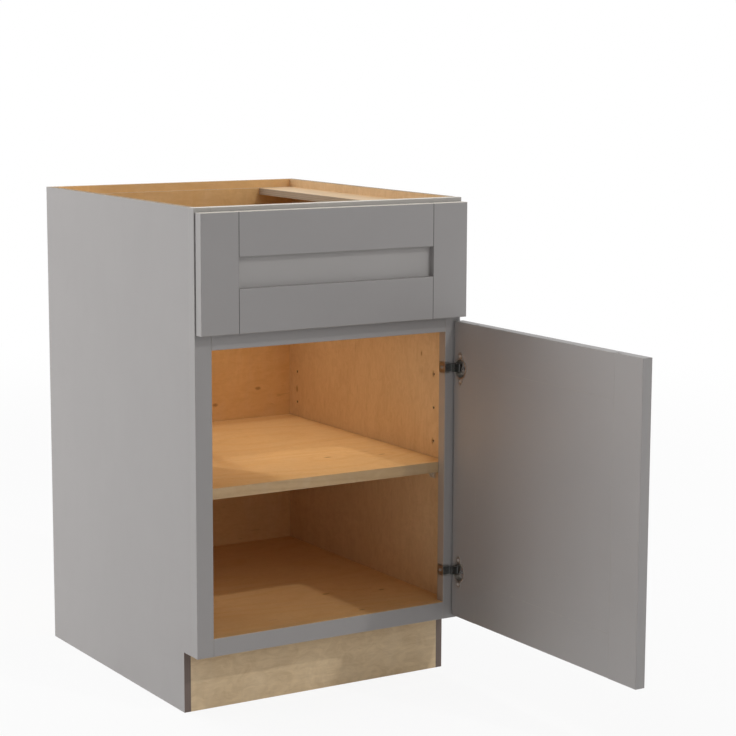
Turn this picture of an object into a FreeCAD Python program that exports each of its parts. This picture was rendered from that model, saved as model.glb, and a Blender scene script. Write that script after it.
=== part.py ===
# Kitchen base cabinet: a face frame carcass with one drawer over one door.
# The frame of reference is +X to the right, +Y to the back and +Z up, with the origin on the
# floor, in the middle of the width, at the plane of the back. The door stands open as at rest.
import FreeCAD, Part
import os
import re
import Sketcher

document = FreeCAD.newDocument("KitchenBaseCabinet")
sheet = document.addObject("Spreadsheet::Sheet", "Sizes")

# Driving sizes in millimetres, and angles in degrees.
driving_sizes = {
    # Carcass
    "cabinet_width": 533.4,
    "cabinet_depth": 609.6,
    "cabinet_height": 876.3,
    "side_thickness": 12.7,
    "back_thickness": 12.7,
    "deck_thickness": 12.7,
    "housing_depth": 6.35,
    "toe_height": 107.95,
    "toe_recess": 50.8,
    "toe_board_thickness": 12.7,
    "brace_width": 76.2,
    "brace_thickness": 12.7,
    "brace_drop": 15.0,
    # Face frame
    "frame_thickness": 19.05,
    "stile_width": 31.75,
    "rail_width": 31.75,
    "drawer_opening_height": 176.0,
    "tenon_length": 16.0,
    "tenon_thickness": 6.35,
    "tenon_shoulder": 4.0,
    "tenon_fit": 0.1,
    "edge_ease": 0.6,
    # Shelf and the angle supports that plug into the side panels
    "shelf_thickness": 19.05,
    "shelf_height": 377.3,
    "shelf_play": 1.2,
    "support_drop": 13.3,
    "support_tail": 6.0,
    "support_half_width": 8.0,
    "support_wall": 2.0,
    "support_reach": 18.0,
    "support_rib_thickness": 2.4,
    "pin_radius": 2.5,
    "pin_hole_depth": 9.5,
    "pin_fit": 0.05,
    "front_pin_setback": 45.5,
    "back_pin_setback": 32.0,
    "pin_pitch": 62.0,
    # Door and drawer fronts
    "front_thickness": 19.05,
    "front_reveal": 1.6,
    "front_standoff": 2.5,
    "front_stile_width": 71.4,
    "front_rail_width": 75.6,
    "front_panel_thickness": 7.5,
    "groove_depth": 10.0,
    "groove_width": 4.0,
    "groove_setback": 2.0,
    "panel_play": 0.8,
    "tongue_fit": 0.05,
    "drawer_front_height": 204.5,
    "drawer_front_drop": 7.2,
    "fronts_gap": 9.0,
    "door_lift": 6.35,
    # Hinges
    "door_angle": 90.0,
    "pivot_inset": 6.0,
    "pivot_depth": 7.0,
    "hinge_end_distance": 84.0,
    "cup_setback": 20.5,
    "cup_radius": 17.4,
    "cup_depth": 12.5,
    "cup_wall": 1.0,
    "cup_bore_play": 0.1,
    "flange_thickness": 1.2,
    "flange_radius": 19.0,
    "flange_ear_radius": 7.0,
    "cup_screw_spacing": 45.0,
    "knuckle_radius": 2.2,
    "knuckle_half_length": 6.9,
    "knuckle_play": 0.3,
    "knuckle_room": 0.7,
    "hinge_pin_radius": 1.2,
    "hinge_pin_fit": 0.05,
    "arm_thickness": 1.2,
    "arm_neck_reach": 12.0,
    "arm_toe_drop": 0.4,
    "plate_thickness": 1.2,
    "plate_half_height": 10.0,
    "plate_leg_depth": 17.0,
    "plate_leg_width": 9.0,
    "damper_setback": 16.6,
    "damper_reach": 27.0,
    "damper_half_height": 10.0,
    "damper_rise": 9.0,
    "damper_boss_radius": 4.0,
    "damper_boss_rise": 1.8,
    "damper_hole_radius": 1.8,
    # Drawer box
    "box_side_thickness": 15.875,
    "box_side_gap": 5.15,
    "box_rear_gap": 66.0,
    "box_height": 114.3,
    "box_floor_gap": 14.3,
    "box_bottom_thickness": 6.35,
    "box_bottom_recess": 12.7,
    "box_groove_depth": 6.35,
    "tail_slope": 2.2,
    "tail_fit": 0.1,
    "box_notch_width": 36.0,
    # Slides under the drawer
    "steel_thickness": 1.5,
    "slide_inset": 0.9,
    "slide_width": 24.0,
    "slide_floor_gap": 1.5,
    "slide_web_height": 12.0,
    "slide_flange_height": 26.0,
    "slide_play": 0.4,
    "slide_members_gap": 2.4,
    "slide_front_setback": 5.6,
    "slide_rear_gap": 27.0,
    "slide_middle_setback": 11.85,
    "hook_height": 17.0,
    "hook_peg_radius": 2.5,
    "hook_peg_length": 9.0,
    "bracket_foot_thickness": 3.0,
    "bracket_width": 46.0,
    "bracket_height": 40.0,
    "bracket_seat_thickness": 4.0,
    "bracket_seat_depth": 30.0,
    # Drawer catches
    "catch_width": 27.0,
    "catch_length": 62.0,
    "catch_thickness": 4.0,
    "catch_pin_radius": 1.5,
    "catch_pin_setback": 48.0,
    "lever_thickness": 3.0,
    "lever_hub_radius": 4.0,
    "lever_width": 6.0,
    "lever_tab_width": 12.0,
    "lever_tab_depth": 6.0,
    "lever_play": 0.3,
    "lever_cap_radius": 2.6,
    "lever_cap_thickness": 1.0,
    # Cutlery insert that lies in the drawer
    "insert_play": 1.0,
    "insert_base_thickness": 6.35,
    "insert_wall_thickness": 9.5,
    "insert_wall_height": 56.0,
    "insert_margin": 62.0,
    # Screw holes in the metal pieces
    "screw_hole_radius": 1.8,
    "screw_edge_distance": 7.0,
    # Clearance of pieces that are pushed together
    "close_fit": 0.05,
    # How far every cutter runs past the face that it leaves
    "cut_overrun": 1.0,
}
pin_rows = 4
tail_count = 4
insert_bay_count = 5
insert_cross_share = 0.56
tail_width_share = 0.62

for row, (alias, size) in enumerate(driving_sizes.items(), start=1):
    sheet.set("A%d" % row, alias)
    sheet.set("B%d" % row, str(size))
    sheet.setAlias("B%d" % row, alias)
document.recompute()

alias_pattern = re.compile(r"[a-z]+(?:_[a-z]+)+")


def formula(text):
    """The text with every alias in it pointed at the sheet."""
    return alias_pattern.sub(lambda found: "Sizes." + found.group(0), text)


# Places that several pieces share, as formulas of the driving sizes.
half_width = "(cabinet_width / 2)"
inner_half = "(cabinet_width / 2 - side_thickness)"
frame_front = "(0 - cabinet_depth)"
frame_back = "(frame_thickness - cabinet_depth)"
toe_line = "(toe_recess - cabinet_depth)"
deck_top = "(toe_height + rail_width)"
opening_half = "(cabinet_width / 2 - stile_width)"
drawer_opening_top = "(cabinet_height - rail_width)"
drawer_opening_floor = "(cabinet_height - rail_width - drawer_opening_height)"
brace_top = "(cabinet_height - brace_drop)"
front_width = "(cabinet_width - 2 * front_reveal)"
fronts_back = "(0 - cabinet_depth - front_standoff)"
drawer_front_floor = "(cabinet_height - drawer_front_drop - drawer_front_height)"
door_floor = "(toe_height + door_lift)"
door_height = f"({drawer_front_floor} - fronts_gap - {door_floor})"
pivot_x = f"({front_width} / 2 - pivot_inset)"
pivot_y = f"({fronts_back} - pivot_depth)"
hinge_heights = {
    "upper": f"({door_floor} + {door_height} - hinge_end_distance)",
    "lower": f"({door_floor} + hinge_end_distance)",
}
cup_centre = "(pivot_inset - cup_setback)"
box_floor = f"({drawer_opening_floor} + box_floor_gap)"
box_half = f"({opening_half} - box_side_gap)"
box_inner_half = f"({box_half} - box_side_thickness)"
box_bottom_under = f"({box_floor} + box_bottom_recess)"
box_bottom_top = f"({box_bottom_under} + box_bottom_thickness)"
box_front_inside = f"({fronts_back} + box_side_thickness)"
box_back = "(0 - back_thickness - box_rear_gap)"
box_depth = f"({box_back} - {fronts_back})"
box_back_inside = f"({box_back} - box_side_thickness)"
slide_outer = f"({box_inner_half} - slide_inset)"
slide_inner = f"({slide_outer} - slide_width)"
slide_floor = f"({drawer_opening_floor} + slide_floor_gap)"
slide_rear = "(0 - back_thickness - slide_rear_gap)"
slide_front = "(slide_front_setback - cabinet_depth)"

pieces = []


def kept(thing, name):
    """Names a finished sub-part and keeps it for the export."""
    thing.Label = name
    pieces.append(thing)
    return thing


def bind(thing, **formulas):
    """Ties properties to the sheet; a double underscore stands for a dot."""
    for path, text in formulas.items():
        thing.setExpression(path.replace("__", "."), formula(text))
    return thing


def seat(thing, x="0", y="0", z="0"):
    return bind(thing, Placement__Base__x=x, Placement__Base__y=y, Placement__Base__z=z)


def seat_on_door(thing, along="0", across="0", z="0"):
    """Seats a piece by its place from the pivot on the closed door, turned open with the door."""
    thing.Placement.Rotation = FreeCAD.Rotation(FreeCAD.Vector(0, 0, 1), 0)
    bind(thing, Placement__Rotation__Angle="door_angle")
    return seat(thing,
                f"{pivot_x} + ({along}) * cos(door_angle) - ({across}) * sin(door_angle)",
                f"{pivot_y} + ({along}) * sin(door_angle) + ({across}) * cos(door_angle)",
                z)


def box(low, high, name="Block"):
    """A rectangular block between two corners given as formulas."""
    block = document.addObject("Part::Box", name)
    bind(block, Length=f"({high[0]}) - ({low[0]})", Width=f"({high[1]}) - ({low[1]})",
         Height=f"({high[2]}) - ({low[2]})")
    return seat(block, *low)


axis_turns = {
    "z": FreeCAD.Rotation(),
    "x": FreeCAD.Rotation(FreeCAD.Vector(0, 1, 0), 90),
    "y": FreeCAD.Rotation(FreeCAD.Vector(1, 0, 0), -90),
}


def rod(radius, length, start, axis="z", name="Rod"):
    """A cylinder that starts at a point and runs along +X, +Y or +Z."""
    cylinder = document.addObject("Part::Cylinder", name)
    cylinder.Placement.Rotation = axis_turns[axis]
    bind(cylinder, Radius=radius, Height=length)
    return seat(cylinder, *start)


def joined(things, name="Joined"):
    fuse = document.addObject("Part::MultiFuse", name)
    fuse.Shapes = things
    return fuse


def minus(base, cutters, name="Trimmed"):
    cut = document.addObject("Part::Cut", name)
    cut.Base = base
    cut.Tool = cutters[0] if len(cutters) == 1 else joined(cutters, name + "Cutters")
    return cut


def group(things, name):
    """Separate solids of one kind, kept as one sub-part."""
    compound = document.addObject("Part::Compound", name)
    compound.Links = things
    return compound


def outline(body, plane, corners, offset="0"):
    """A closed sketch through corner formulas, on one of the body's own planes."""
    sketch = body.newObject("Sketcher::SketchObject", "Outline")
    support = [face for face in body.Origin.OriginFeatures if face.Role == plane][0]
    sketch.AttachmentSupport = [(support, "")]
    sketch.MapMode = "FlatFace"
    if offset != "0":
        bind(sketch, AttachmentOffset__Base__z=offset)
    guesses = [[guess(text) for text in corner] for corner in corners]
    count = len(corners)
    for index in range(count):
        here = FreeCAD.Vector(*guesses[index], 0)
        there = FreeCAD.Vector(*guesses[(index + 1) % count], 0)
        sketch.addGeometry(Part.LineSegment(here, there), False)
    for index in range(count):
        sketch.addConstraint(Sketcher.Constraint("Coincident", index, 2, (index + 1) % count, 1))
    for index, corner in enumerate(corners):
        for kind, part, text, line in (("DistanceX", 0, corner[0], -2), ("DistanceY", 1, corner[1], -1)):
            if text == "0":
                sketch.addConstraint(Sketcher.Constraint("PointOnObject", index, 1, line))
                continue
            reach = Sketcher.Constraint(kind, -1, 1, index, 1, guesses[index][part])
            label = "corner_%d_%s" % (index, kind)
            sketch.renameConstraint(sketch.addConstraint(reach), label)
            sketch.setExpression("Constraints." + label, formula(text))
    return sketch


probe = document.addObject("App::FeaturePython", "Probe")
probe.addProperty("App::PropertyFloat", "Worth")


def guess(text):
    """What a formula comes to, as a starting place for a sketch point."""
    if text == "0":
        return 0.0
    probe.setExpression("Worth", formula(text))
    probe.recompute()
    return probe.Worth


def body_of(plane, corners, length, name="Profile", offset="0", symmetric=False):
    """A body made by padding one closed outline."""
    body = document.addObject("PartDesign::Body", name)
    add_pad(body, plane, corners, length, offset, symmetric)
    return body


def add_pad(body, plane, corners, length, offset="0", symmetric=False):
    pad = body.newObject("PartDesign::Pad", "Pad")
    pad.Profile = outline(body, plane, corners, offset)
    if symmetric:
        pad.SideType = "Symmetric"
    return bind(pad, Length=length)


def ease_edges(body, wanted):
    """Chamfers the edges of the body's tip whose end points all pass the test."""
    document.recompute()
    tip = body.Tip
    edges = [f"Edge{number}" for number, edge in enumerate(tip.Shape.Edges, start=1)
             if all(wanted(vertex.Point) for vertex in edge.Vertexes)]
    chamfer = body.newObject("PartDesign::Chamfer", "Eased")
    chamfer.Base = (tip, edges)
    return bind(chamfer, Size="edge_ease")


def rectangle(low, high):
    return [(low[0], low[1]), (high[0], low[1]), (high[0], high[1]), (low[0], high[1])]


def mirrored(side, text):
    """The formula as it is on the right, or its negative on the left."""
    return text if side == "right" else f"(0 - ({text}))"


def span(side, low, high):
    """The lower and the higher end on X of a stretch given for the right side."""
    return (low, high) if side == "right" else (f"(0 - ({high}))", f"(0 - ({low}))")


def screw_hole(x, y, z, axis, thickness):
    """A hole right through a plate whose nearer face on the axis holds the point."""
    start = {"x": x, "y": y, "z": z}
    start[axis] = f"({start[axis]}) - cut_overrun"
    return rod("screw_hole_radius", f"({thickness}) + 2 * cut_overrun", tuple(start.values()), axis, "Hole")


# Side panels, with a toe notch at the front foot, housings for the deck and the back,
# and two columns of holes for the shelf supports.
lowest_pin_z = "(shelf_height - support_drop)"
pin_columns = {
    "front": f"({frame_back} + front_pin_setback)",
    "back": "(0 - back_thickness - back_pin_setback)",
}


def side_panel(side):
    profile = [
        ("0", "0"),
        (toe_line, "0"),
        (toe_line, "toe_height"),
        (frame_back, "toe_height"),
        (frame_back, "cabinet_height"),
        ("0", "cabinet_height"),
    ]
    blank = body_of("YZ_Plane", profile, "side_thickness", "SideBlank")
    low, high = span(side, inner_half, half_width)
    seat(blank, low)
    housing = span(side, f"{inner_half} - cut_overrun", f"{inner_half} + housing_depth")
    deck_housing = box((housing[0], f"{frame_back} - cut_overrun", f"{deck_top} - deck_thickness"),
                       (housing[1], "0 - cut_overrun", deck_top))
    back_rebate = box((housing[0], "0 - back_thickness", "0 - cut_overrun"),
                      (housing[1], "cut_overrun", "cabinet_height + cut_overrun"))
    hole_x = span(side, f"{inner_half} - cut_overrun", f"{inner_half} + pin_hole_depth")[0]
    holes = [rod("pin_radius + pin_fit", "pin_hole_depth + cut_overrun",
                 (hole_x, y, f"{lowest_pin_z} + {row} * pin_pitch"), "x", "PinHole")
             for y in pin_columns.values() for row in range(pin_rows)]
    kept(minus(blank, [deck_housing, back_rebate] + holes), "side_panel_" + side)


def carcass():
    for side in ("left", "right"):
        side_panel(side)
    housed_half = f"({inner_half} + housing_depth)"
    kept(box((f"0 - {housed_half}", "0 - back_thickness", "0"), (housed_half, "0", "cabinet_height")),
         "back_panel")
    kept(box((f"0 - {housed_half}", frame_back, f"{deck_top} - deck_thickness"),
             (housed_half, "0 - back_thickness", deck_top)), "bottom_panel")
    kept(box((f"0 - {inner_half}", toe_line, "0"),
             (inner_half, f"{toe_line} + toe_board_thickness", f"{deck_top} - deck_thickness")),
         "toe_kick_board")
    kept(box((f"0 - {inner_half}", "0 - back_thickness - brace_thickness", f"{brace_top} - brace_width"),
             (inner_half, "0 - back_thickness", brace_top)), "hanging_rail_back")
    for side in ("left", "right"):
        low, high = span(side, f"{inner_half} - brace_width", inner_half)
        kept(box((low, frame_back, f"{brace_top} - brace_thickness"),
                 (high, "0 - back_thickness - brace_thickness", brace_top)), "top_brace_" + side)


# Face frame: stiles run the full height, and the rails are tenoned between them.
frame_rails = {
    "top": (drawer_opening_top, "cabinet_height"),
    "middle": (f"({drawer_opening_floor} - rail_width)", drawer_opening_floor),
    "bottom": ("toe_height", deck_top),
}
tenon_back = f"({frame_front} + frame_thickness / 2 + tenon_thickness / 2)"
tenon_front = f"({tenon_back} - tenon_thickness)"
hinge_plate_y = f"({frame_front} + plate_leg_depth / 2)"
slide_screw_y = f"({frame_front} + frame_thickness / 2)"
slide_screw_z = f"({slide_floor} + slide_flange_height - screw_edge_distance)"


def frame_stile(side):
    low, high = span(side, opening_half, half_width)
    profile = [
        (low, frame_back),
        (high, frame_back),
        (high, f"{frame_front} + edge_ease"),
        (f"{high} - edge_ease", frame_front),
        (f"{low} + edge_ease", frame_front),
        (low, f"{frame_front} + edge_ease"),
    ]
    blank = body_of("XY_Plane", profile, "cabinet_height - toe_height", "StileBlank")
    seat(blank, z="toe_height")
    cutters = []
    for rail_low, rail_high in frame_rails.values():
        near, far = span(side, f"{opening_half} - cut_overrun",
                         f"{opening_half} + tenon_length + tenon_fit")
        cutters.append(box((near, f"{tenon_front} - tenon_fit", f"{rail_low} + tenon_shoulder - tenon_fit"),
                           (far, f"{tenon_back} + tenon_fit", f"{rail_high} - tenon_shoulder + tenon_fit")))
    kept(minus(blank, cutters), "frame_stile_" + side)


def frame_rail(name):
    low, high = frame_rails[name]
    profile = [
        (frame_back, low),
        (frame_back, high),
        (f"{frame_front} + edge_ease", high),
        (frame_front, f"{high} - edge_ease"),
        (frame_front, f"{low} + edge_ease"),
        (f"{frame_front} + edge_ease", low),
    ]
    rail = body_of("YZ_Plane", profile, f"2 * {opening_half}", "Rail", symmetric=True)
    tenon = rectangle((tenon_front, f"{low} + tenon_shoulder"), (tenon_back, f"{high} - tenon_shoulder"))
    add_pad(rail, "YZ_Plane", tenon, f"2 * ({opening_half} + tenon_length)", symmetric=True)
    kept(rail, "frame_rail_" + name)


def shelf():
    kept(box((f"shelf_play - {inner_half}", f"{frame_back} + shelf_play", "shelf_height"),
             (f"{inner_half} - shelf_play", "0 - back_thickness - shelf_play",
              "shelf_height + shelf_thickness")), "shelf")


# Angle supports: a leg on the side panel, a ledge under the shelf, a rib between them and a peg.
support_foot = "(0 - support_drop - support_tail)"


def shelf_support(side, y):
    def turned(points):
        return [(mirrored(side, x), z) for x, z in points]

    angle = [
        ("0", "0"),
        ("0", support_foot),
        ("0 - support_wall", support_foot),
        ("0 - support_wall", "0 - support_wall"),
        ("0 - support_reach", "0 - support_wall"),
        ("0 - support_reach", "0"),
    ]
    rib = [
        ("0 - support_wall", support_foot),
        ("0 - support_wall", "0 - support_wall"),
        ("0 - support_reach", "0 - support_wall"),
    ]
    body = body_of("XZ_Plane", turned(angle), "2 * support_half_width", "SupportAngle", symmetric=True)
    add_pad(body, "XZ_Plane", turned(rib), "support_rib_thickness", symmetric=True)
    seat(body, mirrored(side, inner_half), y, "shelf_height")
    low, high = span(side, inner_half, f"{inner_half} + pin_hole_depth - pin_fit")
    peg = rod("pin_radius", f"({high}) - ({low})", (low, y, lowest_pin_z), "x", "Peg")
    return joined([body, peg], "ShelfSupport")


def shelf_supports():
    supports = [shelf_support(side, y) for side in ("left", "right") for y in pin_columns.values()]
    kept(group(supports, "ShelfSupports"), "shelf_supports")


# A five piece front: two grooved stiles, two grooved rails with tongues, and a panel that is
# flush with the back face and set back from the front face. Its own origin is the left end of
# the back face at the bottom.
groove_near = "(0 - groove_setback)"
groove_far = "(0 - groove_setback - groove_width)"


def grooved(edge, other, front):
    """Cross section from the outer edge to the grooved inner edge, as depth pairs."""
    towards = "+" if edge == "0" else "-"
    inner = f"({edge} {towards} {other})"
    floor = f"({edge} {towards} ({other} - groove_depth))"
    return [(edge, "0"), (inner, "0"), (inner, groove_near), (floor, groove_near), (floor, groove_far),
            (inner, groove_far), (inner, front), (edge, front)]


def five_piece_front(prefix, height, place):
    front = "(0 - front_thickness)"
    run = f"({front_width} - 2 * front_stile_width)"
    rise = f"({height} - 2 * front_rail_width)"
    made = {}
    full_width = guess(front_width)
    full_height = guess(height)
    thickness = guess("front_thickness")
    slack = driving_sizes["edge_ease"] / 4

    def on_front(point):
        return abs(point.y + thickness) < slack

    def on_outer_back(point, outer):
        return abs(point.y) < slack and outer(point)

    stiles = {"left": ("0", lambda point: abs(point.x) < slack),
              "right": (front_width, lambda point: abs(point.x - full_width) < slack)}
    for side, (edge, outer) in stiles.items():
        stile = body_of("XY_Plane", grooved(edge, "front_stile_width", front), height, "FrontStile")
        ease_edges(stile, on_front)
        ease_edges(stile, lambda point: on_outer_back(point, outer))
        made["stile_" + side] = stile
    rails = {"bottom": "0", "top": height}
    for name, edge in rails.items():
        section = [(depth, up) for up, depth in grooved(edge, "front_rail_width", front)]
        rail = body_of("YZ_Plane", section, run, "FrontRail", offset="front_stile_width")
        ease_edges(rail, on_front)
        outer_z = full_height if name == "top" else 0
        ease_edges(rail, lambda point: on_outer_back(point, lambda spot: abs(spot.z - outer_z) < slack))
        towards = "+" if name == "bottom" else "-"
        tongue = rectangle((f"{groove_far} + tongue_fit", f"{edge} {towards} cut_overrun"),
                           (f"{groove_near} - tongue_fit",
                            f"{edge} {towards} (front_rail_width - groove_depth - tongue_fit)"))
        add_pad(rail, "YZ_Plane", tongue, f"{run} + 2 * (groove_depth - tongue_fit)",
                offset="front_stile_width - groove_depth + tongue_fit")
        made["rail_" + name] = rail
    panel = body_of("XZ_Plane", rectangle(("front_stile_width", "front_rail_width"),
                                          (f"front_stile_width + {run}", f"front_rail_width + {rise}")),
                    "front_panel_thickness", "FrontPanel")
    tongue_reach = "(groove_depth - panel_play)"
    tongue = rectangle((f"front_stile_width - {tongue_reach}", f"front_rail_width - {tongue_reach}"),
                       (f"front_stile_width + {run} + {tongue_reach}",
                        f"front_rail_width + {rise} + {tongue_reach}"))
    add_pad(panel, "XZ_Plane", tongue, "groove_width - 2 * tongue_fit",
            offset="groove_setback + tongue_fit")
    made["panel"] = panel
    for name, piece in made.items():
        place(piece)
    return made


door_left_end = f"(pivot_inset - {front_width})"
knuckle_room_half = "(knuckle_half_length + knuckle_play)"
knuckle_room_right = "(knuckle_radius + knuckle_room)"


def door():
    made = five_piece_front("door", door_height,
                            lambda piece: seat_on_door(piece, door_left_end, "pivot_depth", door_floor))
    hinge_stile = made["stile_right"]
    kept(made["stile_left"], "door_stile_free")
    cutters = []
    for z in hinge_heights.values():
        bore = rod("cup_radius + cup_bore_play", "cup_depth + cup_bore_play + cut_overrun",
                   (cup_centre, "pivot_depth - cup_depth - cup_bore_play", "0"), "y", "CupBore")
        relief_half = f"({knuckle_room_half} + cup_wall + cup_bore_play)"
        relief = box((cup_centre, "pivot_depth - cup_depth", f"0 - {relief_half}"),
                     (f"{knuckle_room_right} + cup_wall + cup_bore_play", "pivot_depth + cut_overrun",
                      relief_half))
        cutters.append(seat_on_door(joined([bore, relief], "HingeCutter"), z=z))
    kept(minus(hinge_stile, cutters), "door_stile_hinge")
    kept(made["rail_top"], "door_rail_top")
    kept(made["rail_bottom"], "door_rail_bottom")
    kept(made["panel"], "door_panel")


# Cup hinges: the cup, its flange and the pin turn with the door, and the gooseneck arm is held
# by a plate that wraps the inner edge of the stile. The pin runs through the arm's knuckle and
# both end walls of the knuckle room at the side of the cup.
def hinge_cup(where, z):
    flange_face = "pivot_depth"
    room_half = knuckle_room_half
    room_right = knuckle_room_right
    outer_cup = rod("cup_radius", "cup_depth", (cup_centre, "pivot_depth - cup_depth", "0"), "y",
                    "CupOuter")
    outer_room = box((cup_centre, "pivot_depth - cup_depth", f"0 - {room_half} - cup_wall"),
                     (f"{room_right} + cup_wall", flange_face, f"{room_half} + cup_wall"))
    rim = rod("flange_radius", "flange_thickness", (cup_centre, flange_face, "0"), "y", "Rim")
    ear_reach = "(cup_screw_spacing / 2)"
    strip = box((f"{cup_centre} - flange_ear_radius", flange_face, f"0 - {ear_reach}"),
                (f"{cup_centre} + flange_ear_radius", f"{flange_face} + flange_thickness", ear_reach))
    ears = [rod("flange_ear_radius", "flange_thickness", (cup_centre, flange_face, f"{sign} {ear_reach}"),
                "y", "Ear") for sign in ("0 -", "0 +")]
    solid = joined([outer_cup, outer_room, rim, strip] + ears, "CupSolid")
    inner_depth = "cup_depth - cup_wall + flange_thickness + cut_overrun"
    inner_floor = "pivot_depth - cup_depth + cup_wall"
    inner_cup = rod("cup_radius - cup_wall", inner_depth, (cup_centre, inner_floor, "0"), "y", "CupInner")
    ear_block = box(("0 - knuckle_radius", inner_floor, f"0 - {room_half} - cup_wall"),
                    (f"{room_right} + cup_wall", flange_face, f"{room_half} + cup_wall"))
    hollow = minus(inner_cup, [ear_block], "CupHollow")
    inner_room = box((cup_centre, inner_floor, f"0 - {room_half}"),
                     (room_right, f"{flange_face} + flange_thickness + cut_overrun", room_half))
    pin_hole = rod("hinge_pin_radius", f"2 * ({room_half} + cup_wall + cut_overrun)",
                   ("0", "0", f"0 - {room_half} - cup_wall - cut_overrun"), "z", "PinHole")
    holes = [screw_hole(cup_centre, flange_face, f"{sign} {ear_reach}", "y", "flange_thickness")
             for sign in ("0 -", "0 +")]
    cup = minus(solid, [hollow, inner_room, pin_hole] + holes, "HingeCup")
    kept(seat_on_door(cup, z=z), "hinge_cup_" + where)
    pin_half = f"({room_half} + cup_wall)"
    pin = rod("hinge_pin_radius", f"2 * {pin_half}", ("0", "0", "0"), "z", "HingePin")
    seat_on_door(pin, z=f"{z} - {pin_half}")
    damper_block = box(("0 - damper_reach", inner_floor, "0 - damper_half_height"),
                       ("0 - damper_setback", f"{inner_floor} + damper_rise", "damper_half_height"))
    boss_x = "0 - damper_setback - damper_boss_radius - pin_fit"
    boss = rod("damper_boss_radius", "damper_boss_rise",
               (boss_x, f"{inner_floor} + damper_rise", "0"), "y", "Boss")
    boss_hole = rod("damper_hole_radius", "damper_rise / 2 + damper_boss_rise + cut_overrun",
                    (boss_x, f"{inner_floor} + damper_rise / 2", "0"), "y", "BossHole")
    damper = minus(joined([damper_block, boss], "DamperSolid"), [boss_hole], "Damper")
    seat_on_door(damper, z=z)
    return pin, damper


strap_front = "(front_standoff + pivot_depth - plate_thickness)"
stile_edge = f"({opening_half} - {pivot_x})"


def hinge_arm(where, z):
    back_of_toe = "(0 - arm_toe_drop)"
    front_of_toe = "(0 - arm_toe_drop - arm_thickness)"
    strap_end = f"({stile_edge} - plate_thickness)"
    neck_inner = "(arm_thickness - arm_neck_reach)"
    gooseneck = [
        (strap_end, strap_front),
        (strap_end, f"{strap_front} - arm_thickness"),
        ("0 - arm_neck_reach", f"{strap_front} - arm_thickness"),
        ("0 - arm_neck_reach", front_of_toe),
        ("0", front_of_toe),
        ("0", back_of_toe),
        (neck_inner, back_of_toe),
        (neck_inner, strap_front),
    ]
    length = "2 * knuckle_half_length"
    neck = body_of("XY_Plane", gooseneck, length, "Gooseneck")
    knuckle = rod("knuckle_radius", length, ("0", "0", "0"), "z", "Knuckle")
    hole = rod("hinge_pin_radius + hinge_pin_fit", f"{length} + 2 * cut_overrun",
               ("0", "0", "0 - cut_overrun"), "z", "KnuckleHole")
    arm = minus(joined([neck, knuckle], "ArmSolid"), [hole], "HingeArm")
    kept(seat(arm, pivot_x, pivot_y, f"{z} - knuckle_half_length"), "hinge_arm_" + where)


def hinge_plate(where, z):
    edge = opening_half
    wrap = [
        (edge, frame_front),
        (edge, f"{frame_front} + plate_leg_depth"),
        (f"{edge} - plate_thickness", f"{frame_front} + plate_leg_depth"),
        (f"{edge} - plate_thickness", f"{frame_front} - plate_thickness"),
        (f"{edge} + plate_leg_width", f"{frame_front} - plate_thickness"),
        (f"{edge} + plate_leg_width", frame_front),
    ]
    blank = body_of("XY_Plane", wrap, "2 * plate_half_height", "PlateBlank")
    seat(blank, z=f"{z} - plate_half_height")
    hole = screw_hole(f"{edge} - plate_thickness", hinge_plate_y, z, "x", "plate_thickness")
    kept(minus(blank, [hole], "HingePlate"), "hinge_plate_" + where)


def hinges():
    pins = []
    dampers = []
    for where, z in hinge_heights.items():
        pin, damper = hinge_cup(where, z)
        pins.append(pin)
        dampers.append(damper)
        hinge_arm(where, z)
        hinge_plate(where, z)
    kept(group(pins, "HingePins"), "hinge_pins")
    kept(group(dampers, "HingeDampers"), "hinge_dampers")


# Drawer box: the sides end in dovetail tails, and the front and the back in the pins between them.
# The panel lies in grooves above the lower edges, which leaves room for the slides under it.
tail_pitch = f"(box_height / {tail_count})"


def tail_heights(number, slope, fit):
    """Lower and upper half widths of one tail at its base, spread by the slope at its end."""
    middle = f"({number} + 1 / 2) * {tail_pitch}"
    half = f"({tail_pitch} * {tail_width_share} / 2 + {fit})"
    return f"{middle} - {half} - {slope}", f"{middle} + {half} + {slope}"


def tail_corners(end_y, base_y, fit):
    """Points up one end of a side board, in and out around its tails."""
    points = []
    for number in range(tail_count):
        base_low, base_high = tail_heights(number, "0", fit)
        end_low, end_high = tail_heights(number, "tail_slope", fit)
        points += [(base_y, base_low), (end_y, end_low), (end_y, end_high), (base_y, base_high)]
    return points


def drawer_side(side):
    depth = box_depth
    front_base = "box_side_thickness"
    back_base = f"({depth} - box_side_thickness)"
    front_end = tail_corners("0", front_base, "0")
    back_end = tail_corners(depth, back_base, "0")
    corners = [(front_base, "0")] + front_end + [(front_base, "box_height"), (back_base, "box_height")]
    corners += back_end[::-1] + [(back_base, "0")]
    board = body_of("YZ_Plane", corners, "box_side_thickness", "DrawerSide")
    low, high = span(side, box_inner_half, box_half)
    seat(board, low, fronts_back, box_floor)
    groove = span(side, f"{box_inner_half} - cut_overrun", f"{box_inner_half} + box_groove_depth")
    cutter = box((groove[0], f"{box_front_inside} - box_groove_depth", box_bottom_under),
                 (groove[1], f"{box_back_inside} + box_groove_depth", box_bottom_top))
    kept(minus(board, [cutter]), "drawer_side_" + side)


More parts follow.
